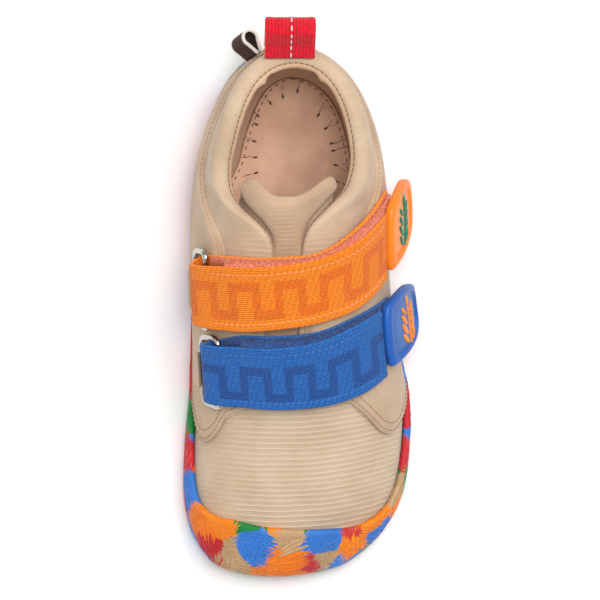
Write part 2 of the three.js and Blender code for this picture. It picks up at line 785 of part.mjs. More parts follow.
// The surface that a strap follows: distance along it from the fold, level above the last, and how far
// across it from the toe edge (0) to the heel edge (1).
class StrapWay {
  constructor(name) {
    const rows = strapEdges[name];
    this.runs = strapRuns[name];
    this.toe = curveThrough(rows, (row) => row.angle, (row) => row.toe);
    this.heel = curveThrough(rows, (row) => row.angle, (row) => row.heel);
    this.under = curveThrough(rows, (row) => row.angle, (row) => row.under);
    const places = [];
    for (let i = 0; i <= 2 * pathSamples; i += 1) {
      const angle = lerp(rows[0].angle, rows[rows.length - 1].angle, i / (2 * pathSamples));
      places.push({ turn: turnOfShare((this.toe(angle) + this.heel(angle)) / 2), phi: radians(angle) });
    }
    this.path = new Path(places);
    this.foldAt = this.distanceOf(this.runs.fold);
    this.endAt = this.distanceOf(this.runs.end);
    this.anchorAt = this.distanceOf(this.runs.anchor);
  }

  distanceOf(angle) {
    const rows = this.path.places;
    const i = rows.findIndex((place) => place.phi >= radians(angle));
    return this.path.lengths[Math.max(i, 1)];
  }

  // A point at a distance, level and share across, moved sideways to the heel by a shift in mm.
  point(distance, level, across, shift = 0) {
    const { phi } = this.path.at(distance);
    const angle = THREE.MathUtils.radToDeg(phi);
    const share = lerp(this.toe(angle), this.heel(angle), across) + shift / lastLength;
    return raised({ turn: turnOfShare(share), phi }, level);
  }

  // A band whose middle line in distance and level is given, of one thickness, as a closed solid.
  band(line, thickness, shift, from = 0, to = 1) {
    const wide = 3;
    const offset = (i, side) => {
      const before = line[Math.max(i - 1, 0)];
      const after = line[Math.min(i + 1, line.length - 1)];
      const [dx, dy] = [after[0] - before[0], after[1] - before[1]];
      const scale = side * thickness / 2 / Math.hypot(dx, dy);
      return [line[i][0] - dy * scale, line[i][1] + dx * scale];
    };
    const loops = line.map((_, i) => {
      const face = (side) => {
        const [distance, level] = offset(i, side);
        return Array.from({ length: wide + 1 }, (_unused, k) => {
          const across = lerp(from, to, k / wide);
          return this.point(distance, level, across, shift(i / (line.length - 1), distance));
        });
      };
      return [...face(1), ...face(-1).reverse()];
    });
    return loft(loops);
  }
}

// A strap in one piece: its lower run from the lateral anchor, the fold round the ring, its upper run.
function strapGeometry(way) {
  const low = webbingLevel + webbingThickness / 2;
  const high = topRunLevel + webbingThickness / 2;
  const radius = (high - low) / 2 + foldBulge / 2;
  const centre = low + radius;
  const fold = way.foldAt + radius;
  const line = [];
  const lowSteps = 11;
  for (let i = 0; i < lowSteps; i += 1) line.push([lerp(way.anchorAt, fold, i / lowSteps), low]);
  const turns = 6;
  for (let i = 0; i <= turns; i += 1) {
    const angle = Math.PI * i / turns;
    line.push([fold - radius * Math.sin(angle), centre - radius * Math.cos(angle)]);
  }
  const highSteps = 13;
  for (let i = 1; i <= highSteps; i += 1) {
    const distance = lerp(fold, way.endAt, i / highSteps);
    const settle = 1 - smooth(distance, fold, fold + foldLength);
    line.push([distance, high + (2 * radius - (high - low)) * settle]);
  }
  const lowEnd = lowSteps / (line.length - 1);
  const highStart = (lowSteps + turns) / (line.length - 1);
  const shift = (t, distance) => {
    const angle = THREE.MathUtils.radToDeg(way.path.at(distance).phi);
    return way.under(angle) * (1 - smooth(t, lowEnd, highStart));
  };
  return way.band(line, webbingThickness, shift);
}

// The fastening tape that lies on a strap's lower run.
function tapeGeometry(way) {
  const level = tapeLevel + tapeThickness / 2;
  const start = way.foldAt + foldLength + wireDiameter;
  const steps = 10;
  const line = Array.from({ length: steps + 1 }, (_, i) => [lerp(start, way.anchorAt - 2, i / steps), level]);
  const shift = (_t, distance) => way.under(THREE.MathUtils.radToDeg(way.path.at(distance).phi));
  return way.band(line, tapeThickness, shift, 0.04, 0.97);
}

// Where the two long bars of a ring lie: one inside the strap's fold and one under the keeper.
function ringLevels(way) {
  const low = webbingLevel + webbingThickness;
  const inner = { distance: way.foldAt + foldBulge + ringInset, level: low + fitGap + wireDiameter / 2 };
  const outer = { distance: inner.distance - ringGap - wireDiameter, level: webbingLevel + wireDiameter / 2 };
  return { inner, outer };
}

// A wire ring: a rounded rectangle whose long bars run across the strap.
function ringGeometry(way) {
  const { inner, outer } = ringLevels(way);
  const width = way.point(inner.distance, 0, 0).distanceTo(way.point(inner.distance, 0, 1));
  const low = -way.runs.ringToe / width;
  const high = 1 + way.runs.ringHeel / width;
  const bend = ringBend / width;
  const side = ringBend / (ringGap + wireDiameter);
  const corners = [
    { t: side, across: high - bend, from: Math.PI },
    { t: 1 - side, across: high - bend, from: Math.PI / 2 },
    { t: 1 - side, across: low + bend, from: 0 },
    { t: side, across: low + bend, from: -Math.PI / 2 },
  ];
  const samples = [];
  const barSteps = 4;
  for (const [i, corner] of corners.entries()) {
    for (let k = 0; k <= 3; k += 1) {
      const angle = corner.from - Math.PI / 2 * k / 3;
      samples.push([corner.t + side * Math.cos(angle), corner.across + bend * Math.sin(angle)]);
    }
    if (i === 0 || i === 2) continue;
    const [t, start] = samples[samples.length - 1];
    const end = i === 1 ? low + bend : high - bend;
    for (let k = 1; k < barSteps; k += 1) samples.push([t, lerp(start, end, k / barSteps)]);
  }
  const centres = samples.map(([t, across]) => {
    const distance = lerp(inner.distance, outer.distance, t);
    return way.point(distance, lerp(inner.level, outer.level, t), across);
  });
  return wireLoop(centres, wireDiameter / 2);
}

// A round wire along a closed line of points.
function wireLoop(centres, radius) {
  const count = 8;
  const middle = centres.reduce((sum, p) => sum.add(p), new THREE.Vector3()).divideScalar(centres.length);
  const loops = centres.map((p, i) => {
    const before = centres[(i + centres.length - 1) % centres.length];
    const after = centres[(i + 1) % centres.length];
    const ahead = after.clone().sub(before).normalize();
    const out = p.clone().sub(middle);
    out.addScaledVector(ahead, -out.dot(ahead)).normalize();
    const up = ahead.clone().cross(out);
    return Array.from({ length: count }, (_, k) => {
      const angle = 2 * Math.PI * k / count;
      const spoke = out.clone().multiplyScalar(Math.cos(angle)).addScaledVector(up, Math.sin(angle));
      return p.clone().addScaledVector(spoke, radius);
    });
  });
  return loft(loops, true);
}

// The leather keeper that holds a ring's outer bar on the medial quarter.
function keeperGeometry(way) {
  const { outer } = ringLevels(way);
  const flat = webbingLevel + keeperThickness / 2;
  const hump = outer.level + wireDiameter / 2 + fitGap + keeperThickness / 2;
  const half = wireDiameter / 2 + fitGap + keeperThickness / 2;
  const line = [];
  const steps = 5;
  const start = outer.distance - keeperReach;
  for (let i = 0; i < steps; i += 1) line.push([lerp(start, outer.distance - half, i / steps), flat]);
  for (let i = 0; i <= steps; i += 1) {
    const angle = Math.PI * 0.62 * i / steps;
    line.push([outer.distance - half * Math.cos(angle), flat + (hump - flat) * Math.sin(angle)]);
  }
  const edge = (1 - keeperShare) / 2;
  return way.band(line, keeperThickness, () => 0, edge, 1 - edge);
}

// The rubber tab at the end of a strap's upper run: a plate with a raised frame.
function tabGeometry(way) {
  const start = way.endAt + fitGap;
  const at = (row, scale, level) => {
    const along = 0.5 + (row.along - 0.5) * scale;
    const across = 0.5 + row.across * scale / 2;
    const distance = start + along * tabLength;
    return way.point(distance, level + tabLean * along ** 1.3, across);
  };
  const bottom = topRunLevel;
  const top = bottom + tabThickness;
  const shrink = 1 - 2 * tabFrame / tabLength;
  const ring = (scale, level) => tabOutline.map((row) => at(row, scale, level));
  return loft([
    ring(0.94, bottom),
    ring(1, bottom + 0.5),
    ring(1, top - 0.5),
    ring(0.95, top),
    ring(shrink + 0.03, top),
    ring(shrink - 0.02, top - tabRecess),
  ]);
}

// The webbing pull loop that stands on the collar at the back and leans backwards.
function pullLoopGeometry() {
  const seat = columns[halfColumns].path;
  const rim = seat.length - collarThickness / 2;
  const crest = raised(seat.at(rim), collarSwell - collarThickness / 2);
  const lean = radians(pullLean);
  const along = new THREE.Vector3(0, Math.sin(lean), Math.cos(lean));
  const out = new THREE.Vector3(0, Math.cos(lean), -Math.sin(lean));
  const base = crest.clone().addScaledVector(along, collarThickness / 2 - fitGap);
  const half = (pullGap + pullThickness) / 2;
  const line = [];
  const steps = 4;
  const straight = pullLength - half;
  const legOut = (t) => lerp(1, 0.75, t);
  for (let i = 0; i < steps; i += 1) line.push([straight * i / steps, half * legOut(0)]);
  for (let i = 0; i <= 6; i += 1) {
    const angle = Math.PI * i / 6;
    line.push([straight + half * Math.sin(angle), half * Math.cos(angle)]);
  }
  for (let i = steps - 1; i >= 0; i -= 1) line.push([straight * i / steps, -half]);
  const loops = line.map(([a, b], i) => {
    const before = line[Math.max(i - 1, 0)];
    const after = line[Math.min(i + 1, line.length - 1)];
    const [dx, dy] = [after[0] - before[0], after[1] - before[1]];
    const scale = pullThickness / 2 / Math.hypot(dx, dy);
    const face = (side) => [-0.5, 0, 0.5].map((share) => {
      const p = base.clone().addScaledVector(along, a - side * dy * scale);
      p.addScaledVector(out, b + side * dx * scale);
      return p.setX(pullX + share * pullWidth);
    });
    return [...face(1), ...face(-1).reverse()];
  });
  return loft(loops);
}

// The small ribbon loop in the medial back seam: an upright band bent to a drop shape.
function ribbonLoopGeometry() {
  const path = columnAt("medial", ribbonSeat);
  const seat = path.at(path.length * 0.6);
  const level = quarterLevel + quarterThickness + fitGap;
  const start = raised(seat, level);
  const out = lastNormal(seat.turn, seat.phi).setZ(0).normalize();
  const side = new THREE.Vector3(-out.y, out.x, 0);
  const tilt = radians(ribbonTilt);
  const upright = side.clone().multiplyScalar(-Math.sin(tilt)).setZ(Math.cos(tilt));
  side.multiplyScalar(Math.cos(tilt)).setZ(Math.sin(tilt));
  const half = (ribbonGap + ribbonThickness) / 2;
  const line = [[0, ribbonThickness * 0.6]];
  const steps = 10;
  const drop = ribbonLength - half;
  for (let i = 0; i <= steps; i += 1) {
    const angle = lerp(0.15, 0.85, i / steps) * 2 * Math.PI;
    line.push([drop - half * Math.cos(angle) * 1.05, half * Math.sin(angle)]);
  }
  line.push([0, -ribbonThickness * 0.6]);
  const loops = line.map(([a, b], i) => {
    const before = line[Math.max(i - 1, 0)];
    const after = line[Math.min(i + 1, line.length - 1)];
    const [dx, dy] = [after[0] - before[0], after[1] - before[1]];
    const scale = ribbonThickness / 2 / Math.hypot(dx, dy);
    const face = (way) => [-0.5, 0.5].map((share) => {
      const p = start.clone().addScaledVector(out, a - way * dy * scale);
      p.addScaledVector(side, b + way * dx * scale);
      return p.addScaledVector(upright, share * ribbonHeight);
    });
    return [...face(1), ...face(-1).reverse()];
  });
  return loft(loops);
}

const finishes = {
  suede: { color: 0xcdb491, roughness: 0.95, metalness: 0 },
  lining: { color: 0xb98e73, roughness: 0.7, metalness: 0 },
  rubber: { color: 0xd2453b, roughness: 0.6, metalness: 0 },
  orangeWebbing: { color: 0xff8a1e, roughness: 0.85, metalness: 0 },
  salmonTape: { color: 0xff8f5e, roughness: 1, metalness: 0 },
  blueWebbing: { color: 0x1f62b4, roughness: 0.85, metalness: 0 },
  blueTape: { color: 0x184f97, roughness: 1, metalness: 0 },
  orangeRubber: { color: 0xff8410, roughness: 0.5, metalness: 0 },
  blueRubber: { color: 0x1b5db5, roughness: 0.5, metalness: 0 },
  steel: { color: 0xd8d8d4, roughness: 0.2, metalness: 1 },
  redWebbing: { color: 0xd80f23, roughness: 0.8, metalness: 0 },
  ribbon: { color: 0x4a2a20, roughness: 0.7, metalness: 0 },
};

const shoe = new THREE.Group();

// Adds one named sub-part with a material of its own.
function addPart(name, geometry, finish) {
  const mesh = new THREE.Mesh(geometry, new THREE.MeshStandardMaterial(finishes[finish]));
  mesh.name = name;
  shoe.add(mesh);
}

addPart("outsole", treadedSole(), "rubber");
addPart("upper", upperGeometry(), "suede");
addPart("insole", insoleGeometry(), "lining");
addPart("tongue", tongueGeometry(), "suede");
addPart("quarter_medial", quarterGeometry("medial"), "suede");
addPart("quarter_lateral", quarterGeometry("lateral"), "suede");
const strapLooks = {
  upper: { webbing: "orangeWebbing", tape: "salmonTape", tab: "orangeRubber" },
  lower: { webbing: "blueWebbing", tape: "blueTape", tab: "blueRubber" },
};
for (const [name, looks] of Object.entries(strapLooks)) {
  const way = new StrapWay(name);
  addPart(`strap_${name}`, strapGeometry(way), looks.webbing);
  addPart(`loop_tape_${name}`, tapeGeometry(way), looks.tape);
  addPart(`strap_tab_${name}`, tabGeometry(way), looks.tab);
  addPart(`ring_${name}`, ringGeometry(way), "steel");
  addPart(`ring_keeper_${name}`, keeperGeometry(way), "suede");
}
addPart("heel_loop", pullLoopGeometry(), "redWebbing");
addPart("side_ribbon_loop", ribbonLoopGeometry(), "ribbon");

export default shoe;
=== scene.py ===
"""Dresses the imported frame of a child's prewalker shoe, left foot, and sets it under soft light.

Every soft or moulded piece follows the same foot form as the solids do, at the same levels above it,
so that the layers lie on each other as a maker would stack them. Lengths are in millimetres until a
mesh is finished, and in metres from then on.
"""

import logging
import math
import random
from collections.abc import Callable, Iterable, Sequence
from dataclasses import dataclass, field
from enum import Enum
from functools import cache
from typing import Protocol

import bmesh
import bpy
import numpy as np
from mathutils import Matrix, Vector

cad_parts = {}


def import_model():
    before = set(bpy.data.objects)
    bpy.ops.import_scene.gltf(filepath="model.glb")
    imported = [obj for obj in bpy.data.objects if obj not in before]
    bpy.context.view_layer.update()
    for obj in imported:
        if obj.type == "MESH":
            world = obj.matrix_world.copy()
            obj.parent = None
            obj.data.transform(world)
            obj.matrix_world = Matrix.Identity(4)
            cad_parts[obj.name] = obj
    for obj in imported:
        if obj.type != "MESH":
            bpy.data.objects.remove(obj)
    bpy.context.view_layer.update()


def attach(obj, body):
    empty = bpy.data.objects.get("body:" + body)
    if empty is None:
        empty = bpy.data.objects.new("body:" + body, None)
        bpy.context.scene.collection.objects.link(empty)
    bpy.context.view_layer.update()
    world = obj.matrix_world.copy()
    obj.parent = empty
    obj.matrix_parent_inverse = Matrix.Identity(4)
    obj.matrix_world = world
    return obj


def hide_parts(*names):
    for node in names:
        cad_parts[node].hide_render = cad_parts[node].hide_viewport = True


LOG = logging.getLogger("prewalker_shoe")
MM = 0.001
BODY = "root"
Curve = Callable[[np.ndarray], np.ndarray]
Socket = bpy.types.NodeSocket


class Side(Enum):
    """The two sides of the foot, with the sign of x on each."""

    MEDIAL = -1
    LATERAL = 1


class Strap(Enum):
    """The two straps, with the ending of their pieces' names."""

    UPPER = "upper"
    LOWER = "lower"


def curve_through(xs: Sequence[float], ys: Sequence[float]) -> Curve:
    """Makes a smooth function through given points.

    Args:
        xs: Places of the points, rising.
        ys: Values at those places.

    Returns:
        A function of an array of places.
    """
    x0, y0 = np.asarray(xs, float), np.asarray(ys, float)
    order = np.arange(len(x0))
    low, high = np.maximum(order - 1, 0), np.minimum(order + 1, len(x0) - 1)
    slope = (y0[high] - y0[low]) / (x0[high] - x0[low])

    def at(x: np.ndarray) -> np.ndarray:
        x = np.asarray(x, float)
        i = np.clip(np.searchsorted(x0, x, side="left") - 1, 0, len(x0) - 2)
        span = x0[i + 1] - x0[i]
        t = (x - x0[i]) / span
        start = y0[i] * (2 * t**3 - 3 * t**2 + 1) + slope[i] * span * (t**3 - 2 * t**2 + t)
        return start + y0[i + 1] * (3 * t**2 - 2 * t**3) + slope[i + 1] * span * (t**3 - t**2)

    return at


def smooth(x: np.ndarray, low: float, high: float) -> np.ndarray:
    """Rises smoothly from 0 at low to 1 at high."""
    t = np.clip((np.asarray(x, float) - low) / (high - low), 0, 1)
    return t * t * (3 - 2 * t)


def mix(a: np.ndarray, b: np.ndarray, t: np.ndarray) -> np.ndarray:
    """Blends from a to b as t goes from 0 to 1."""
    return a + (b - a) * t


def unit(v: np.ndarray) -> np.ndarray:
    """Scales vectors to a length of one."""
    return v / np.maximum(np.linalg.norm(v, axis=-1, keepdims=True), 1e-9)


def run_lengths(points: np.ndarray) -> np.ndarray:
    """How far along a line of points each of them lies."""
    return np.concatenate([[0], np.cumsum(np.linalg.norm(np.diff(points, axis=0), axis=1))])


def hump(x: np.ndarray, centre: float, width: float) -> np.ndarray:
    """A soft bump of height one round a centre."""
    return np.exp(-(((np.asarray(x, float) - centre) / width) ** 2))


@dataclass(frozen=True)
class Sizes:
    """Driving sizes of the shoe in millimetres, the same as those of the solids."""

    last_length: float = 150.8
    last_toe: float = -75.3
    ball_half: float = 30.9
    cone_height: float = 84.0
    heel_lean: float = 2.6
    lean_height: float = 48.0
    tuck_height: float = 22.0
    sole: float = 3.7
    cup_wall: float = 2.0
    toe_spring: float = 5.5
    spring_share: float = 0.24
    tread_bevel: float = 1.1
    groove_depth: float = 1.2
    groove_width: float = 1.6
    groove_pitch: float = 9.0
    groove_margin: float = 6.0
    fit_gap: float = 0.3
    lap_gap: float = 0.7
    upper_wall: float = 1.8
    collar: float = 6.0
    collar_swell: float = 1.2
    collar_depth: float = 13.0
    throat_rim: float = 2.2
    insole: float = 2.4
    quarter: float = 1.0
    throat_margin: float = 1.8
    collar_band: float = 16.0
    band_start: float = 0.5
    band_end: float = 0.61
    pad_medial: float = 6.5
    pad_lateral: float = 2.6
    pad_back: float = 5.5
    pad_bottom: float = 10.0
    pad_top: float = 42.0
    bumper: float = 9.6
    tongue: float = 3.0
    tongue_start: float = 0.3
    tongue_middle: float = 0.706
    tongue_lobe: float = 0.034
    tongue_corner: float = 0.05
    tongue_swell: float = 5.0
    webbing: float = 1.2
    tape: float = 0.8
    fold_bulge: float = 1.8
    ring_inset: float = 2.6
    fold_length: float = 9.0
    wire: float = 1.8
    ring_gap: float = 6.4
    ring_bend: float = 2.2
    keeper: float = 1.2
    keeper_reach: float = 7.0
    keeper_share: float = 0.62
    tab_length: float = 21.0
    tab: float = 2.8
    tab_frame: float = 2.4
    tab_recess: float = 0.9
    tab_lean: float = 1.6
    pull_width: float = 14.2
    pull: float = 1.5
    pull_length: float = 11.2
    pull_gap: float = 3.2
    pull_lean: float = 42.0
    pull_x: float = -4.2
    ribbon_height: float = 10.0
    ribbon: float = 0.8
    ribbon_length: float = 7.0
    ribbon_gap: float = 3.4
    ribbon_tilt: float = 22.0
    ribbon_seat: float = 0.948

    @property
    def feather(self) -> float:
        """Height of the feather edge, where upper and sole meet."""
        return self.sole + self.fit_gap

    @property
    def webbing_level(self) -> float:
        """Level of the lower run's underside above the last."""
        return self.lap_gap + self.quarter + self.fit_gap

    @property
    def tape_level(self) -> float:
        """Level of the loop tape's underside."""
        return self.webbing_level + self.webbing + self.fit_gap

    @property
    def top_level(self) -> float:
        """Level of the top run's underside."""
        return self.tape_level + self.tape + self.fit_gap

    @property
    def cup_outside(self) -> float:
        """Level of the cup's outer face."""
        return self.fit_gap + self.cup_wall


SIZE = Sizes()

# Sections of the last: share of length, half width, centre, rise, exponent, tuck
LAST_SECTIONS = (
    (0.0, 0.0, -0.235, 0.0, 2.1, 0.0),
    (0.018, 0.53, -0.19, 0.068, 2.1, 0.0),
    (0.04, 0.68, -0.155, 0.103, 2.15, 0.0),
    (0.0816, 0.843, -0.107, 0.152, 2.2, 0.0),
    (0.1465, 0.956, -0.05, 0.228, 2.3, 0.0),
    (0.2387, 0.995, -0.012, 0.292, 2.3, 0.01),
    (0.332, 0.989, 0.003, 0.357, 2.3, 0.03),
    (0.45, 0.944, -0.052, 0.452, 2.35, 0.08),
    (0.55, 0.919, -0.092, 0.524, 2.4, 0.14),
    (0.65, 0.903, -0.107, 0.601, 2.5, 0.15),
    (0.74, 0.868, -0.105, 0.68, 2.6, 0.14),
    (0.82, 0.79, -0.098, 0.774, 2.6, 0.12),
    (0.9, 0.64, -0.095, 0.87, 2.6, 0.09),
    (0.96, 0.43, -0.095, 0.94, 2.6, 0.05),
    (1.0, 0.0, -0.084, 1.0, 2.6, 0.04),
)

# The opening's edge: share of length, then how far out it lies on the medial and the lateral side
OPENING_EDGE = (
    (0.335, -0.18, -0.18),
    (0.338, -0.25, -0.11),
    (0.352, -0.32, -0.04),
    (0.38, -0.335, -0.025),
    (0.47, -0.31, 0.02),
    (0.58, -0.22, 0.085),
    (0.625, -0.23, 0.115),
    (0.655, -0.36, 0.2),
    (0.69, -0.6, 0.42),
    (0.725, -0.74, 0.64),
    (0.77, -0.8, 0.76),
    (0.82, -0.81, 0.805),
    (0.88, -0.83, 0.83),
    (0.94, -0.86, 0.86),
    (0.98, -0.885, 0.885),
    (1.0, -0.9, 0.9),
)

# The cup's rim: way round from toe to heel, then its height as a share of the bumper's
CUP_RIM = ((0, 1), (0.1, 0.98), (0.19, 0.8), (0.28, 0.66), (0.42, 0.62), (0.6, 0.55), (0.8, 0.7), (1, 0.85))

# The front edge of each quarter: share of length, then share of the half width
QUARTER_FRONT = {
    Side.MEDIAL: (
        (0.315, 0.985),
        (0.262, 0.93),
        (0.241, 0.86),
        (0.26, 0.775),
        (0.292, 0.71),
        (0.306, 0.62),
        (0.322, 0.46),
        (0.345, 0.4),
    ),
    Side.LATERAL: (
        (0.335, 0.985),
        (0.289, 0.92),
        (0.262, 0.84),
        (0.266, 0.74),
        (0.293, 0.62),
        (0.32, 0.49),
        (0.332, 0.36),
        (0.333, 0.2),
        (0.345, 0.06),
    ),
}

# Strap edges: angle round the foot, share at the toe edge, share at the heel edge, shift of the lower run
STRAP_EDGES = {
    Strap.UPPER: (
        (22, 0.502, 0.596, 2),
        (38, 0.482, 0.594, 2),
        (60, 0.471, 0.591, 2.2),
        (83, 0.476, 0.594, 1.6),
        (100, 0.489, 0.609, 0.8),
        (120, 0.516, 0.642, 2.2),
        (142, 0.572, 0.694, 2.2),
        (165, 0.62, 0.742, 1.5),
    ),
    Strap.LOWER: (
        (30, 0.342, 0.441, 0.1),
        (44, 0.334, 0.445, 0.1),
        (62, 0.327, 0.442, 2.2),
        (82, 0.324, 0.441, 2.4),
        (98, 0.331, 0.453, 1.8),
        (116, 0.351, 0.48, 1.2),
        (137, 0.389, 0.508, 0.8),
        (165, 0.424, 0.54, 0.8),
    ),
}

# Outline of a strap tab: share of its length, then share of the strap's half width
TAB_OUTLINE = (
    (0, -0.74),
    (0.12, -0.84),
    (0.55, -0.7),
    (0.9, -0.36),
    (1, -0.18),
    (1, 0.82),
    (0.9, 1.1),
    (0.55, 1.36),
    (0.12, 1.2),
    (0, 1.0),
)


@dataclass(frozen=True)
class StrapRun:
    """Where a strap folds, ends and is sewn down, as angles, and how far its ring stands past its edges."""

    fold: float
    end: float
    anchor: float
    ring_toe: float
    ring_heel: float


STRAP_RUNS = {
    Strap.UPPER: StrapRun(37.5, 137, 150, 1.2, 3.4),
    Strap.LOWER: StrapRun(42, 131, 146, 1.8, 1.4),
}


class Last:
    """The foot form that every layer follows: turn runs from toe to heel and phi round the foot."""

    def __init__(self) -> None:
        """Lays curves through the columns of the table of sections."""
        rows = np.array(LAST_SECTIONS)
        turn = self.turn_of(rows[:, 0])
        self.half, self.centre, self.rise, self.square, self.tuck = (
            curve_through(turn, rows[:, k]) for k in range(1, 6)
        )

    @staticmethod
    def turn_of(share: np.ndarray) -> np.ndarray:
        """The turn at a share of the length."""
        return np.arccos(np.clip(1 - 2 * np.asarray(share, float), -1, 1))

    @staticmethod
    def share_of(turn: np.ndarray) -> np.ndarray:
        """The share of the length at a turn."""
        return (1 - np.cos(turn)) / 2

    @staticmethod
    def spring(share: np.ndarray) -> np.ndarray:
        """How far the toe lifts off the floor."""
        ahead = np.maximum(0, SIZE.spring_share - share) / SIZE.spring_share
        return SIZE.toe_spring * ahead**2

    def point(self, turn: np.ndarray, phi: np.ndarray) -> np.ndarray:
        """Points of the last at turns and phis."""
        share = self.share_of(turn)
        power = 2 / self.square(turn)
        c, s = np.cos(phi), np.sin(phi)
        across = np.sign(c) * np.abs(c) ** power
        height = self.rise(turn) * SIZE.cone_height * np.sign(s) * np.abs(s) ** power
        low = np.maximum(0, 1 - np.maximum(height, 0) / SIZE.tuck_height)
        reach = self.half(turn) * SIZE.ball_half * across * (1 - self.tuck(turn) * low**2)
        part = smooth(turn / np.pi, 0.7, 1)
        lean = SIZE.heel_lean * part * np.maximum(height, 0) / SIZE.lean_height
        x = self.centre(turn) * SIZE.ball_half - reach
        y = SIZE.last_toe + SIZE.last_length * share - lean
        z = SIZE.feather + self.spring(share) + height
        return np.stack(np.broadcast_arrays(x, y, z), axis=-1)

    def normal(self, turn: np.ndarray, phi: np.ndarray) -> np.ndarray:
        """Outward normals of the last."""
        step = 2e-3
        t, p = np.clip(turn, 0.03, np.pi - 0.01), np.clip(phi, 0.02, np.pi - 0.02)
        along = self.point(t + step, p) - self.point(t - step, p)
        around = self.point(t, p + step) - self.point(t, p - step)
        return unit(np.cross(around, along))

    def raised(self, turn: np.ndarray, phi: np.ndarray, level: np.ndarray) -> np.ndarray:
        """Points that lie a level above the last.

        Args:
            turn: Angles along the last.
            phi: Angles round it.
            level: Height above it in mm, negative inside.

        Returns:
            Points in mm, in an array with a last axis of three.
        """
        turn, phi, level = np.broadcast_arrays(
            np.asarray(turn, float), np.asarray(phi, float), np.asarray(level, float)
        )
        normal = self.normal(turn, phi).copy()
        flat = (np.abs(phi) < 0.02) | (np.abs(phi - np.pi) < 0.02)
        normal[flat, 2] = 0
        return self.point(turn, phi) + unit(normal) * level[..., None]

    def over(self, share: np.ndarray, out: np.ndarray) -> tuple[np.ndarray, np.ndarray]:
        """The place on the last over a point of the plan.

        Args:
            share: Share of the length.
            out: Signed share of the half width, medial side negative.

        Returns:
            The turn and the phi.
        """
        turn = self.turn_of(np.clip(share, 0, 1))
        out = np.asarray(out, float)
        lean = np.arccos(np.minimum(1, np.abs(out) ** (self.square(turn) / 2)))
        return turn, np.where(out < 0, lean, np.pi - lean)


LAST = Last()


class LastPath:
    """A path on the last that is measured along its length."""

    def __init__(self, turn: np.ndarray, phi: np.ndarray) -> None:
        """Measures the path through given places."""
        self.turn, self.phi = np.broadcast_arrays(turn, phi)
        self.points = LAST.point(self.turn, self.phi)
        self.lengths = run_lengths(self.points)
        self.length = float(self.lengths[-1])

    def at(self, distance: np.ndarray) -> tuple[np.ndarray, np.ndarray]:
        """The places at distances along the path."""
        turn = np.interp(distance, self.lengths, self.turn)
        return turn, np.interp(distance, self.lengths, self.phi)

    def at_height(self, height: float) -> float:
        """The distance at which the path first reaches a height."""
        z = self.points[:, 2]
        i = max(1, int(np.argmax(z >= height)))
        return float(mix(self.lengths[i - 1], self.lengths[i], (height - z[i - 1]) / (z[i] - z[i - 1])))


class Columns:
    """Lines up the upper from the feather edge to the opening's edge, all round the shoe."""

    samples = 70

    def __init__(self) -> None:
        """Lays the opening's edge and the feather edge on both sides."""
        rows = np.array(OPENING_EDGE)
        order = np.arange(len(rows))
        share = curve_through(order, rows[:, 0])
        x = np.linspace(0, len(rows) - 1, 4 * self.samples + 1)
        whole = np.linspace(0, np.pi, 4 * self.samples + 1)
        self.opening = {}
        self.feather = {}
        for side, column in ((Side.MEDIAL, 1), (Side.LATERAL, 2)):
            out = curve_through(order, rows[:, column])
            self.opening[side] = LastPath(*LAST.over(share(x), out(x)))
            self.feather[side] = LastPath(whole, 0.0 if side is Side.MEDIAL else np.pi)
        rim = np.array(CUP_RIM, float)
        self.rim_rise = curve_through(rim[:, 0], rim[:, 1])

    @cache
    def at(self, side: Side, way: float) -> LastPath:
        """The column at a way round the shoe, from the toe (0) to the back seam (1)."""
        foot, edge = self.feather[side], self.opening[side]
        turn0, phi0 = foot.at(way * foot.length)
        turn1, phi1 = edge.at(way**1.8 * edge.length)
        upright = float(smooth(way, 0.5, 0.75))
        t = np.linspace(0, 1, self.samples + 1)
        share = mix(LAST.share_of(turn0), LAST.share_of(turn1), t**2)
        turn = LAST.turn_of(share)
        half, centre = LAST.half(turn) * SIZE.ball_half, LAST.centre(turn) * SIZE.ball_half
        start_x = LAST.centre(turn0) * SIZE.ball_half + side.value * LAST.half(turn0) * SIZE.ball_half
        end_x = LAST.point(turn1, phi1)[0]
        out = np.clip((mix(start_x, end_x, t**2) - centre) / np.maximum(half, 0.5), -1, 1)
        out[0] = side.value
        plan_turn, plan_phi = LAST.over(share, out)
        turn = mix(plan_turn, mix(turn0, turn1, t), upright)
        phi = mix(plan_phi, mix(phi0, phi1, t), upright)
        turn[-1], phi[-1] = turn1, phi1
        return LastPath(turn, phi)

    def rim(self, path: LastPath, way: float) -> float:
        """The distance up a column at which the cup's rim lies."""
        return path.at_height(path.points[0, 2] + float(self.rim_rise(way)) * SIZE.bumper)

    @staticmethod
    def collar_part(path: LastPath) -> float:
        """How far an edge of the opening has turned from throat (0) into collar (1)."""
        return float(smooth(LAST.share_of(path.turn[-1]), 0.62, 0.76))

    @staticmethod
    def edge_margin(path: LastPath) -> float:
        """How far below the opening's edge the quarter stops."""
        band = smooth(LAST.share_of(path.turn[-1]), SIZE.band_start, SIZE.band_end)
        return float(mix(SIZE.throat_margin, SIZE.collar_band, band))

    def pad(self, side: Side, way: float, path: LastPath, distance: np.ndarray) -> np.ndarray:
        """How much thicker the wall is low in the heel, where the lining is padded."""
        full = SIZE.pad_medial if side is Side.MEDIAL else SIZE.pad_lateral
        full = mix(full, SIZE.pad_back, smooth(way, 0.85, 1)) * self.collar_part(path)
        return full * (1 - smooth(distance, SIZE.pad_bottom, SIZE.pad_top))

    def around(self, half: int) -> list[tuple[Side, float, LastPath]]:
        """Columns all the way round, from the toe along the medial side and back laterally."""
        made = []
        for i in range(2 * half):
            side = Side.MEDIAL if i <= half else Side.LATERAL
            way = i / half if i <= half else 2 - i / half
            made.append((side, way, self.at(side, way)))
        return made


COLUMNS = Columns()


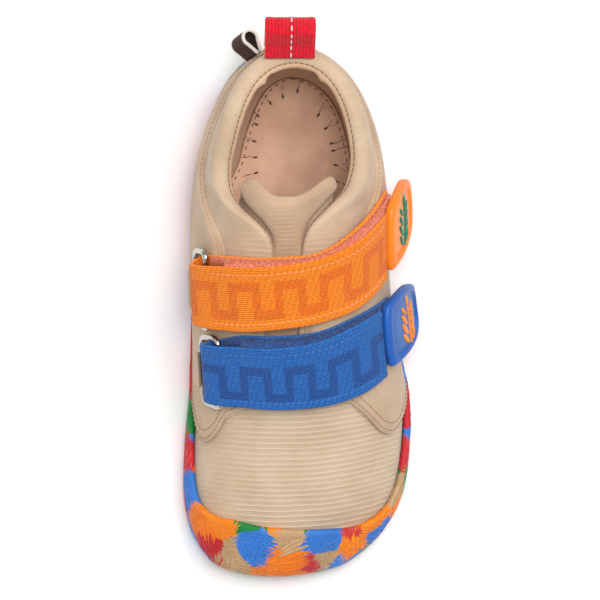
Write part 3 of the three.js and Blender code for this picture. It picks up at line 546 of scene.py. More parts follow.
def linear(code: str) -> tuple[float, float, float, float]:
    """Turns an sRGB hex code into Blender's linear colour.

    Args:
        code: Six hex digits.

    Returns:
        Linear red, green and blue, with an alpha of one.
    """
    parts = [int(code[i : i + 2], 16) / 255 for i in (0, 2, 4)]
    r, g, b = (c / 12.92 if c <= 0.04045 else ((c + 0.055) / 1.055) ** 2.4 for c in parts)
    return (r, g, b, 1.0)


def add_node(
    tree: bpy.types.NodeTree, kind: str, inputs: dict | None = None, **settings: object
) -> bpy.types.Node:
    """Adds one shader node with its settings and links.

    Args:
        tree: The material's node tree.
        kind: The node's type, without the words ShaderNode.
        inputs: Values or output sockets by input name or number.
        settings: Properties of the node.

    Returns:
        The new node.
    """
    node = tree.nodes.new("ShaderNode" + kind)
    for name, value in settings.items():
        setattr(node, name, value)
    for key, value in (inputs or {}).items():
        if isinstance(value, Socket):
            tree.links.new(value, node.inputs[key])
        else:
            node.inputs[key].default_value = value
    return node


@dataclass
class Board:
    """One new material, with short ways to the sums and mixes that patterns are made of."""

    name: str
    material: bpy.types.Material = field(init=False)
    tree: bpy.types.NodeTree = field(init=False)
    shader: bpy.types.Node = field(init=False)

    def __post_init__(self) -> None:
        """Makes the material and finds its shader."""
        self.material = bpy.data.materials.new(self.name)
        self.material.use_nodes = True
        self.tree = self.material.node_tree
        self.shader = self.tree.nodes["Principled BSDF"]

    def add(self, kind: str, inputs: dict | None = None, **settings: object) -> bpy.types.Node:
        """Adds a node to this material."""
        return add_node(self.tree, kind, inputs, **settings)

    def sum(self, operation: str, *values: object) -> Socket:
        """Does one step of arithmetic on values or sockets."""
        return self.add("Math", dict(enumerate(values)), operation=operation).outputs[0]

    def times(self, a: object, b: object) -> Socket:
        """The product of two values."""
        return self.sum("MULTIPLY", a, b)

    def plus(self, a: object, b: object) -> Socket:
        """The sum of two values."""
        return self.sum("ADD", a, b)

    def minus(self, a: object, b: object) -> Socket:
        """The first value less the second."""
        return self.sum("SUBTRACT", a, b)

    def blend(self, factor: object, a: object, b: object, kind: str = "MIX") -> Socket:
        """Mixes two colours."""
        return self.add("Mix", {0: factor, 6: a, 7: b}, data_type="RGBA", blend_type=kind).outputs[2]

    def ramp(self, factor: object, low: float, high: float, smoothly: bool = True) -> Socket:
        """Rises from 0 at low to 1 at high."""
        step = "SMOOTHSTEP" if smoothly else "LINEAR"
        values = {"Value": factor, "From Min": low, "From Max": high}
        return self.add("MapRange", values, interpolation_type=step).outputs[0]

    def place(self, per_mm: float = 1.0, stretch: tuple[float, float, float] = (1, 1, 1)) -> Socket:
        """Object coordinates in millimetres, times a scale and a stretch."""
        coordinates = self.add("TexCoord").outputs["Object"]
        scale = [1000 * per_mm * s for s in stretch]
        return self.add("Mapping", {"Vector": coordinates, "Scale": scale}).outputs[0]

    def cloth(self, scale: tuple[float, float, float] = (1, 1, 1)) -> Socket:
        """The piece's own map in millimetres, along and across the cloth."""
        coordinates = self.add("TexCoord").outputs["UV"]
        return self.add("Mapping", {"Vector": coordinates, "Scale": scale}).outputs[0]

    def noise(self, vector: object, scale: float, detail: float = 4, rough: float = 0.55) -> Socket:
        """Grey noise with a number of cells for each millimetre of the given place."""
        values = {"Vector": vector, "Scale": scale, "Detail": detail, "Roughness": rough}
        return self.add("TexNoise", values).outputs["Fac"]

    def bump(self, height: object, depth_mm: float, strength: float = 1.0, after: object = None) -> Socket:
        """Turns a height from 0 to 1 into a bump of a depth in millimetres."""
        values = {"Height": height, "Distance": depth_mm * MM, "Strength": strength}
        if after is not None:
            values["Normal"] = after
        return self.add("Bump", values).outputs[0]

    def finish(self, color: object, roughness: object, normal: object = None, **levels: float) -> bpy.types.Material:
        """Wires the shader.

        Args:
            color: Base colour or its socket.
            roughness: Roughness or its socket.
            normal: The last bump.
            levels: Plain numbers for the shader's other sockets, with _ for a space.

        Returns:
            The material.
        """
        wired = {"Base Color": color, "Roughness": roughness}
        if normal is not None:
            wired["Normal"] = normal
        for key, value in wired.items():
            if isinstance(value, Socket):
                self.tree.links.new(value, self.shader.inputs[key])
            else:
                self.shader.inputs[key].default_value = value
        for key, value in levels.items():
            self.shader.inputs[key.replace("_", " ")].default_value = value
        return self.material


@dataclass(frozen=True)
class Suede:
    """Split cowhide, buffed to a nap and pressed into fine ribs: matte and mottled, with a painted highlight on the
    rib crests and painted shade between the ribs.
    """

    name: str = "suede_ribbed_beige"
    light: str = "D1BA9F"
    deep: str = "BFA588"
    ribbed: bool = True
    rib_pitch: float = 1.53
    rib_depth: float = 0.15

    def make(self) -> bpy.types.Material:
        """Makes the suede, with ribs that lie across the foot."""
        b = Board(self.name)
        mm = b.place()
        split = b.add("SeparateXYZ", {0: mm}).outputs
        # Buffed nap: short fibres of about 0.3 mm lie in patches of a few millimetres
        nap = b.noise(mm, 2.6, 5, 0.7)
        patches = b.noise(mm, 0.09, 3, 0.5)
        tint = b.noise(mm, 0.35, 2, 0.5)
        color = b.blend(b.ramp(patches, 0.3, 0.72), linear(self.light), linear(self.deep))
        color = b.blend(b.ramp(nap, 0.35, 0.75), color, linear("BDA083"))
        color = b.blend(b.times(b.ramp(tint, 0.55, 0.8), 0.25), color, linear("D8BDA4"))
        rough = None
        if self.ribbed:
            # Ribs 1.5 mm apart, slightly bowed towards the toe, that fade out at the collar and on the medial side;
            # the crests carry a painted highlight and the grooves painted shade
            bow = b.times(b.sum("POWER", b.plus(split[0], 8.0), 2.0), -0.0037)
            sway = b.times(b.noise(mm, 0.06, 2, 0.5), 1.1)
            across = b.plus(b.plus(split[1], bow), sway)
            wave = b.sum("SINE", b.times(across, 2 * math.pi / self.rib_pitch))
            line = b.sum("POWER", b.ramp(wave, -1, 1, False), 2.6)
            near = b.minus(1.0, b.ramp(split[1], 8, 26))
            near = b.times(near, b.plus(0.35, b.times(b.ramp(split[0], -24, -12), 0.65)))
            broken = b.ramp(b.noise(b.place(1, (0.2, 1, 1)), 0.5, 3, 0.6), 0.15, 0.55)
            ribs = b.times(b.times(line, near), broken)
            # Painted highlight: the rib crests are lightened towards pale beige
            color = b.blend(b.times(ribs, 0.38), color, linear("E9D8C0"))
            # Painted shade: the grooves between the ribs are darkened towards brown
            shade = b.times(b.minus(1.0, line), b.times(near, 0.07))
            color = b.blend(shade, color, linear("B49878"))
            rough = b.bump(ribs, self.rib_depth)
        fine = b.bump(nap, 0.1, 0.8, rough)
        return b.finish(color, 0.95, fine, Sheen_Weight=0.2, Sheen_Roughness=0.6, Specular_IOR_Level=0.25)


@dataclass(frozen=True)
class Leather:
    """Chrome-tanned pigskin lining: smooth, soft satin, with close pores and a faint pull of colour."""

    name: str
    light: str
    deep: str
    pore: float = 0.55

    def make(self) -> bpy.types.Material:
        """Makes the leather."""
        b = Board(self.name)
        mm = b.place()
        cloud = b.noise(mm, 0.12, 3, 0.5)
        grain = b.add("TexVoronoi", {"Vector": mm, "Scale": 1 / self.pore}, feature="F1").outputs["Distance"]
        fibre = b.noise(mm, 1.8, 4, 0.65)
        color = b.blend(b.ramp(cloud, 0.32, 0.68), linear(self.light), linear(self.deep))
        color = b.blend(b.times(b.ramp(fibre, 0.4, 0.8), 0.5), color, linear(self.deep))
        rough = b.add("MapRange", {"Value": fibre, "To Min": 0.62, "To Max": 0.8}).outputs[0]
        bumped = b.bump(fibre, 0.07, 0.6, b.bump(grain, 0.05, 0.6))
        return b.finish(color, rough, bumped, Specular_IOR_Level=0.35, Sheen_Weight=0.1)


@dataclass(frozen=True)
class Webbing:
    """Polyester webbing: bright floats of twill, a broken stepped figure, and a bare selvedge."""

    name: str
    light: str
    deep: str
    figure: str
    gap: str
    width: float
    figured: bool = True
    floats: float = 0.62

    def make(self) -> bpy.types.Material:
        """Makes the webbing on its own map, in millimetres along and across."""
        b = Board(self.name)
        uv = b.cloth()
        split = b.add("SeparateXYZ", {0: uv}).outputs
        drift = b.times(b.noise(uv, 0.4, 2, 0.5), 0.5)
        # Twill: floats 1.4 mm long in rows 0.6 mm apart, each row a step on from the last
        lean = b.plus(b.plus(split[0], b.times(split[1], 0.9)), drift)
        float_vector = b.add("CombineXYZ", {0: lean, 1: b.plus(split[1], drift)}).outputs[0]
        sizes = {
            "Vector": float_vector,
            "Scale": 1.0,
            "Mortar Size": 0.13,
            "Mortar Smooth": 1.0,
            "Brick Width": 2.4 * self.floats,
            "Row Height": self.floats,
            "Color1": (1, 1, 1, 1),
            "Color2": (0.55, 0.55, 0.55, 1),
            "Mortar": (0, 0, 0, 1),
        }
        bricks = b.add("TexBrick", sizes, offset=0.37).outputs
        weave = bricks["Color"]
        yarn = b.noise(b.cloth((0.7, 3.0, 1)), 1.0, 4, 0.7)
        color = b.blend(b.ramp(weave, 0.0, 0.9), linear(self.deep), linear(self.light))
        color = b.blend(b.times(b.ramp(yarn, 0.45, 0.8), 0.35), color, linear(self.deep))
        color = b.blend(b.times(bricks["Fac"], 0.6), color, linear(self.gap))
        height = weave
        if self.figured:
            mask = self.figure_mask(b, split)
            speck = b.ramp(b.noise(uv, 1.7, 3, 0.6), 0.25, 0.6)
            mask = b.times(mask, speck)
            color = b.blend(b.times(mask, 0.8), color, linear(self.figure))
            height = b.minus(b.ramp(weave, 0, 1, False), b.times(mask, 0.7))
        bumped = b.bump(height, 0.22, 1.0, b.bump(yarn, 0.12))
        return b.finish(color, 0.8, bumped, Sheen_Weight=0.15, Sheen_Roughness=0.5, Specular_IOR_Level=0.25)

    def figure_mask(self, b: Board, split: Sequence[Socket]) -> Socket:
        """A plain stepped wave of bars 2 mm wide that runs along the strap."""
        step, repeat = 0.66, 11.22
        u = b.times(b.sum("FLOOR", b.sum("DIVIDE", split[0], step)), step)
        u = b.sum("ABSOLUTE", b.minus(b.sum("FLOORED_MODULO", u, repeat), repeat / 2))
        v = b.minus(split[1], self.width / 2 - 0.3)
        v = b.times(b.sum("FLOOR", b.sum("DIVIDE", v, step)), step)
        upright = b.sum("COMPARE", u, repeat / 4, 1.0)
        upright = b.times(upright, b.sum("LESS_THAN", b.sum("ABSOLUTE", v), 5.3))
        top = b.times(b.sum("COMPARE", v, 4.3, 1.0), b.sum("LESS_THAN", u, repeat / 4))
        low = b.times(b.sum("COMPARE", v, -4.3, 1.0), b.sum("GREATER_THAN", u, repeat / 4))
        return b.sum("MINIMUM", b.plus(b.plus(upright, top), low), 1.0)


@dataclass(frozen=True)
class Nap:
    """Loop tape: a felted pile of fine nylon loops, bright at the tips, with painted shade deep between them."""

    name: str
    tip: str
    root: str

    def make(self) -> bpy.types.Material:
        """Makes the pile."""
        b = Board(self.name)
        mm = b.place()
        tuft = b.noise(mm, 1.3, 5, 0.75)
        # Painted shade: the pile darkens to the root colour between the tufts
        color = b.blend(b.ramp(tuft, 0.38, 0.6), linear(self.root), linear(self.tip))
        return b.finish(color, 0.9, b.bump(tuft, 0.5), Sheen_Weight=0.4, Sheen_Roughness=0.5)


@dataclass(frozen=True)
class MouldedRubber:
    """Soft injection-moulded rubber: even colour, satin skin with a trace of moulding grain."""

    name: str
    color: str
    shade: str
    roughness: float = 0.42

    def make(self) -> bpy.types.Material:
        """Makes the rubber."""
        b = Board(self.name)
        mm = b.place()
        cloud = b.noise(mm, 0.15, 2, 0.5)
        grain = b.noise(mm, 3.2, 3, 0.6)
        color = b.blend(b.ramp(cloud, 0.3, 0.75), linear(self.color), linear(self.shade))
        rough = b.plus(b.times(grain, 0.14), self.roughness - 0.07)
        return b.finish(color, rough, b.bump(grain, 0.03, 0.7), Specular_IOR_Level=0.5)


@dataclass(frozen=True)
class PaintedRubber:
    """Sole rubber pressed from coloured slabs: patches with torn edges, each combed its own way."""

    name: str = "rubber_pressed_patches"
    colors: tuple[str, ...] = (
        *("D0242F", "3F8CE4", "0A8A3A", "D62C36", "FC8A12"),
        *("3680DA", "C9A378", "DA3A34", "FB8310"),
    )

    def make(self) -> bpy.types.Material:
        """Makes the rubber: patches of about 10 mm, torn along bundles of strokes 0.8 mm apart."""
        b = Board(self.name)
        mm = b.place()
        # Each bundle of strokes has a direction of its own, and spreads like a fan
        bundle = b.add("TexVoronoi", {"Vector": mm, "Scale": 0.1}, feature="F1").outputs
        own = b.add("SeparateXYZ", {0: bundle["Color"]}).outputs
        near = b.add("VectorMath", {0: mm, 1: bundle["Position"]}, operation="SUBTRACT").outputs[0]
        turn = b.times(own[1], 2 * math.pi)
        along = b.add("CombineXYZ", {0: b.sum("COSINE", turn), 1: b.sum("SINE", turn), 2: 0.35}).outputs[0]
        aside = b.add("CombineXYZ", {0: b.sum("SINE", turn), 1: b.times(b.sum("COSINE", turn), -1.0), 2: 0.6})
        far = b.add("VectorMath", {0: near, 1: along}, operation="DOT_PRODUCT").outputs["Value"]
        beside = b.add("VectorMath", {0: near, 1: aside.outputs[0]}, operation="DOT_PRODUCT").outputs["Value"]
        beside = b.sum("DIVIDE", beside, b.plus(1.0, b.times(far, 0.05)))
        stroke = b.add("CombineXYZ", {0: beside, 1: b.times(own[0], 40.0)}).outputs[0]
        pull = b.times(b.minus(b.noise(stroke, 1.5, 3, 0.7), 0.5), 13.0)
        shift = b.add("VectorMath", {0: along, "Scale": pull}, operation="SCALE").outputs[0]
        torn = b.add("VectorMath", {0: mm, 1: shift}, operation="ADD").outputs[0]
        cells = b.add("TexVoronoi", {"Vector": torn, "Scale": 0.11, "Randomness": 1.0}, feature="F1")
        pick = b.add("SeparateXYZ", {0: cells.outputs["Color"]}).outputs
        ramp = b.add("ValToRGB", {0: pick[0]})
        ramp.color_ramp.interpolation = "CONSTANT"
        stops = ramp.color_ramp.elements
        while len(stops) < len(self.colors):
            stops.new(0.5)
        for i, code in enumerate(self.colors):
            stops[i].position = i / len(self.colors)
            stops[i].color = linear(code)
        comb = b.ramp(b.sum("SINE", b.times(beside, 2 * math.pi / 0.8)), -1, 1)
        streak = b.noise(stroke, 2.6, 3, 0.7)
        color = b.blend(b.times(comb, 0.14), ramp.outputs[0], linear("2A1512"))
        pale = b.times(b.ramp(streak, 0.6, 0.72), b.ramp(b.noise(mm, 0.08, 2, 0.5), 0.5, 0.62))
        color = b.blend(b.times(pale, 0.75), color, linear("DDBB92"))
        rough = b.plus(b.times(streak, 0.2), 0.36)
        return b.finish(color, rough, b.bump(comb, 0.22, 0.9), Specular_IOR_Level=0.4)


@dataclass(frozen=True)
class PlatedWire:
    """Steel wire, bent, welded and nickel plated: a mirror with faint drawing marks."""

    name: str = "steel_wire_nickel_plated"

    def make(self) -> bpy.types.Material:
        """Makes the plating."""
        b = Board(self.name)
        marks = b.noise(b.place(), 0.8, 3, 0.6)
        rough = b.plus(b.times(marks, 0.12), 0.1)
        return b.finish(linear("BDBAB2"), rough, b.bump(marks, 0.02, 0.5), Metallic=1.0)


@dataclass(frozen=True)
class Thread:
    """Twisted polyester sewing thread: slightly shiny, with a visible twist."""

    name: str
    color: str

    def make(self) -> bpy.types.Material:
        """Makes the thread."""
        b = Board(self.name)
        twist = b.noise(b.place(), 5.0, 2, 0.6)
        color = b.blend(b.ramp(twist, 0.3, 0.8), linear(self.color), linear("6B4A36"))
        color = b.blend(0.75, color, linear(self.color))
        return b.finish(color, 0.6, b.bump(twist, 0.06, 0.7), Sheen_Weight=0.2)


@dataclass(frozen=True)
class Ribbon:
    """Woven satin ribbon, dark brown with a white selvedge on both edges."""

    name: str = "ribbon_satin_brown"
    width: float = 10.0

    def make(self) -> bpy.types.Material:
        """Makes the ribbon on its own map."""
        b = Board(self.name)
        split = b.add("SeparateXYZ", {0: b.cloth()}).outputs
        edge = b.sum("ABSOLUTE", b.minus(split[1], self.width / 2))
        white = b.ramp(edge, self.width / 2 - 0.95, self.width / 2 - 0.75)
        picks = b.ramp(b.sum("SINE", b.times(split[0], 2 * math.pi / 0.5)), -1, 1)
        color = b.blend(picks, linear("220806"), linear("4A1E16"))
        color = b.blend(white, color, linear("E9E2D8"))
        return b.finish(color, 0.6, b.bump(picks, 0.08, 0.6), Specular_IOR_Level=0.2)


@dataclass(frozen=True)
class PaperFloor:
    """A seamless sheet of matte white studio paper."""

    name: str = "paper_white"

    def make(self) -> bpy.types.Material:
        """Makes the paper."""
        b = Board(self.name)
        fibre = b.noise(b.place(), 0.4, 3, 0.6)
        color = b.blend(fibre, linear("F6F6F6"), linear("F9F9F9"))
        return b.finish(color, 0.9, None, Specular_IOR_Level=0.1)


class Finish(Protocol):
    """Anything that can make its own material."""

    def make(self) -> bpy.types.Material:
        """Makes the material."""


@cache
def material_of(finish: Finish) -> bpy.types.Material:
    """A finish's material, which is made once."""
    return finish.make()


SUEDE = Suede()
# Plain suede for the quarters and keepers: unribbed, and a little darker than the ribbed suede as painted shade on
# the quarters
PLAIN_SHADED_SUEDE = Suede("suede_plain_beige_painted_shade", "CDB296", "B99C7F", False)
# The tongue's suede is a darker copy with painted shade, for the shadow that the collar casts on the tongue; it is
# also a little pinker
SHADED_TONGUE_SUEDE = Suede("suede_tongue_beige_painted_shade", "C6A88B", "B39478", False)
LINING = Leather("leather_lining_peach", "DDBB99", "CDA988")
INSOLE_LEATHER = Leather("leather_insole_tan", "DDB598", "CDA287")
ORANGE_WEBBING = Webbing("webbing_orange", "FF8E16", "F97C0A", "EC6404", "D45A06", 18.4)
BLUE_WEBBING = Webbing("webbing_blue", "2470C2", "144F9E", "0F4088", "0C3674", 17.2)
RED_WEBBING = Webbing("webbing_red", "E8122A", "C00818", "B00414", "7E0210", 14.2, False, 1.0)
SALMON_NAP = Nap("loop_pile_salmon", "FFA882", "F2683E")
BLUE_NAP = Nap("loop_pile_navy", "2260AC", "0F3670")
ORANGE_RUBBER = MouldedRubber("rubber_orange", "FF8412", "FA7A0A")
ORANGE_PANEL = MouldedRubber("rubber_orange_panel", "F9913A", "F08A36")
BLUE_RUBBER = MouldedRubber("rubber_blue", "1B5DB5", "1955A8")
BLUE_PANEL = MouldedRubber("rubber_blue_panel", "3668AE", "3163A8")
GREEN_RELIEF = MouldedRubber("rubber_green_relief", "0B7A5C", "0A6E54", 0.25)
ORANGE_RELIEF = MouldedRubber("rubber_orange_relief", "F08A1C", "E07C12", 0.3)
PATCHES = PaintedRubber()
WIRE = PlatedWire()
RIBBON = Ribbon()
THREAD_BEIGE = Thread("thread_beige", "B49A78")
THREAD_BROWN = Thread("thread_brown", "6E4630")
THREAD_WHITE = Thread("thread_white", "F1ECE6")
THREAD_SALMON = Thread("thread_salmon", "FFA070")
THREAD_BLUE = Thread("thread_blue", "2C66B0")
# Dark brown thread, also used for the painted shade in the quarters' needle holes
DARK_THREAD_AND_HOLE_SHADE = Thread("thread_dark_brown_and_hole_shade", "4A2418")


@dataclass
class Sheet:
    """A grid of points that becomes a skin, with a map in millimetres.

    points has the shape rows by columns by three, and cloth, if given, rows by columns by two.
    """

    points: np.ndarray
    cloth: np.ndarray | None = None
    material: int = 0

    def add_to(self, bm: bmesh.types.BMesh) -> None:
        """Lays the skin into a mesh: a plain grid is made and its corners are moved into place."""
        rows, columns = self.points.shape[:2]
        made = bmesh.ops.create_grid(bm, x_segments=columns - 1, y_segments=rows - 1, size=1)["verts"]
        flat = self.points.reshape(-1, 3) * MM
        for vert, place in zip(made, flat):
            vert.co = place
        bm.verts.index_update()
        first = made[0].index
        layer = bm.loops.layers.uv.verify()
        cloth = None if self.cloth is None else self.cloth.reshape(-1, 2)
        for face in {f for vert in made for f in vert.link_faces}:
            face.material_index = self.material
            face.smooth = True
            if cloth is not None:
                for loop in face.loops:
                    loop[layer].uv = cloth[loop.vert.index - first]


def close_ends(bm: bmesh.types.BMesh) -> None:
    """Fills the open ends that are left after the seams are welded."""
    edges = [edge for edge in bm.edges if edge.is_boundary]
    made = bmesh.ops.holes_fill(bm, edges=edges, sides=0)["faces"]
    for face in made:
        face.smooth = False


def weld(bm: bmesh.types.BMesh, reach_mm: float = 0.003) -> None:
    """Joins corners that meet and turns the faces outwards."""
    bmesh.ops.remove_doubles(bm, verts=bm.verts[:], dist=reach_mm * MM)
    bmesh.ops.dissolve_degenerate(bm, dist=1e-7, edges=bm.edges[:])
    close_ends(bm)
    bmesh.ops.recalc_face_normals(bm, faces=bm.faces[:])


def add_mesh(name: str, bm: bmesh.types.BMesh) -> bpy.types.Object:
    """Makes an object in the scene from a mesh under work."""
    mesh = bpy.data.meshes.new(name)
    bm.to_mesh(mesh)
    bm.free()
    made = bpy.data.objects.new(name, mesh)
    bpy.context.scene.collection.objects.link(made)
    return made


@dataclass
class Piece:
    """What a finished mesh needs before it joins the shoe."""

    name: str
    slot: str
    finishes: Sequence[Finish]
    nodes: Sequence[str] = ()

    def skin(self, *sheets: Sheet) -> bpy.types.Object:
        """Welds sheets into one closed skin and joins it to the shoe."""
        bm = bmesh.new()
        for sheet in sheets:
            sheet.add_to(bm)
        weld(bm)
        return self.join(bm)

    def join(self, bm: bmesh.types.BMesh) -> bpy.types.Object:
        """Makes the object, lets it ride on the shoe and hides the solids it stands for."""
        piece = add_mesh(self.name, bm)
        for finish in self.finishes:
            piece.data.materials.append(material_of(finish))
        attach(piece, BODY)
        if self.nodes:
            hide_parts(*self.nodes)
        LOG.info("%s: %d faces", self.name, len(piece.data.polygons))
        return piece


def frame_matrix(place: np.ndarray, along: np.ndarray, up: np.ndarray, sizes: Sequence[float]) -> Matrix:
    """A matrix that lays a unit shape along a direction at a place.

    Args:
        place: The middle in mm.
        along: Direction of its long axis.
        up: Direction out of the surface.
        sizes: Half length, half width and half height in mm.

    Returns:
        The matrix in metres.
    """
    a = Vector(along).normalized()
    u = Vector(up)
    u = (u - a * u.dot(a)).normalized()
    side = u.cross(a)
    turn = Matrix((a, side, u)).transposed().to_4x4()
    return Matrix.Translation(Vector(place) * MM) @ turn @ Matrix.Diagonal((*[s * MM for s in sizes], 1))


def lay_copies(bm: bmesh.types.BMesh, matrices: Sequence[Matrix]) -> None:
    """Fills a mesh that holds one small shape with copies of it, one for each matrix.

    Args:
        bm: A mesh that holds nothing but the shape, about its own middle.
        matrices: Where each copy lies.
    """
    shape = np.array([(*vert.co, 1.0) for vert in bm.verts])
    copies = [bm.verts[:]]
    while len(copies) < len(matrices):
        chosen = copies[: len(matrices) - len(copies)]
        verts = [vert for copy in chosen for vert in copy]
        edges = dict.fromkeys(edge for vert in verts for edge in vert.link_edges)
        faces = dict.fromkeys(face for vert in verts for face in vert.link_faces)
        twin = bmesh.ops.duplicate(bm, geom=[*verts, *edges, *faces])["vert_map"]
        copies += [[twin[vert] for vert in copy] for copy in chosen]
    places = np.einsum("kij,nj->kni", np.array([m[:3] for m in matrices]), shape)
    for copy, spots in zip(copies, places):
        for vert, spot in zip(copy, spots):
            vert.co = spot
    for face in bm.faces:
        face.smooth = True


@dataclass
class Stitching:
    """Rows of short stitches that are joined in one mesh."""

    name: str
    slot: str
    thread: Finish
    long: float = 1.15
    thick: float = 0.19
    pitch: float = 1.75
    beads: list[Matrix] = field(default_factory=list)

    def run(self, points: np.ndarray, normals: np.ndarray, sink: float = 0.05, phase: float = 0.5) -> None:
        """Sews one row along a line of points.

        Args:
            points: The line in mm.
            normals: Directions out of the surface there.
            sink: How deep the thread lies in the surface.
            phase: Where the first bead lies, as a share of the pitch.
        """
        lengths = run_lengths(points)
        count = max(1, int(lengths[-1] / self.pitch))
        for at in (np.arange(count) + phase) * lengths[-1] / count:
            ends = [[np.interp(at + d, lengths, points[:, k]) for k in range(3)] for d in (-0.3, 0, 0.3)]
            up = [np.interp(at, lengths, normals[:, k]) for k in range(3)]
            before, place, after = (np.array(e) for e in ends)
            place = place + unit(np.array(up)) * (self.thick - sink)
            sizes = (self.long / 2, self.thick * 1.15, self.thick)
            self.stitch(place, after - before, np.array(up), sizes)

    def stitch(self, place: np.ndarray, along: np.ndarray, up: np.ndarray, sizes: Sequence[float]) -> None:
        """Adds one stitch as a small smooth bead."""
        self.beads.append(frame_matrix(place, along, up, sizes) @ Matrix.Rotation(math.pi / 2, 4, "Y"))

    def finish(self, round_sides: int = 8, rings: int = 5) -> bpy.types.Object:
        """Joins the rows in one piece."""
        bm = bmesh.new()
        bmesh.ops.create_uvsphere(bm, u_segments=round_sides, v_segments=rings, radius=1)
        lay_copies(bm, self.beads)
        return Piece(self.name, self.slot, [self.thread]).join(bm)


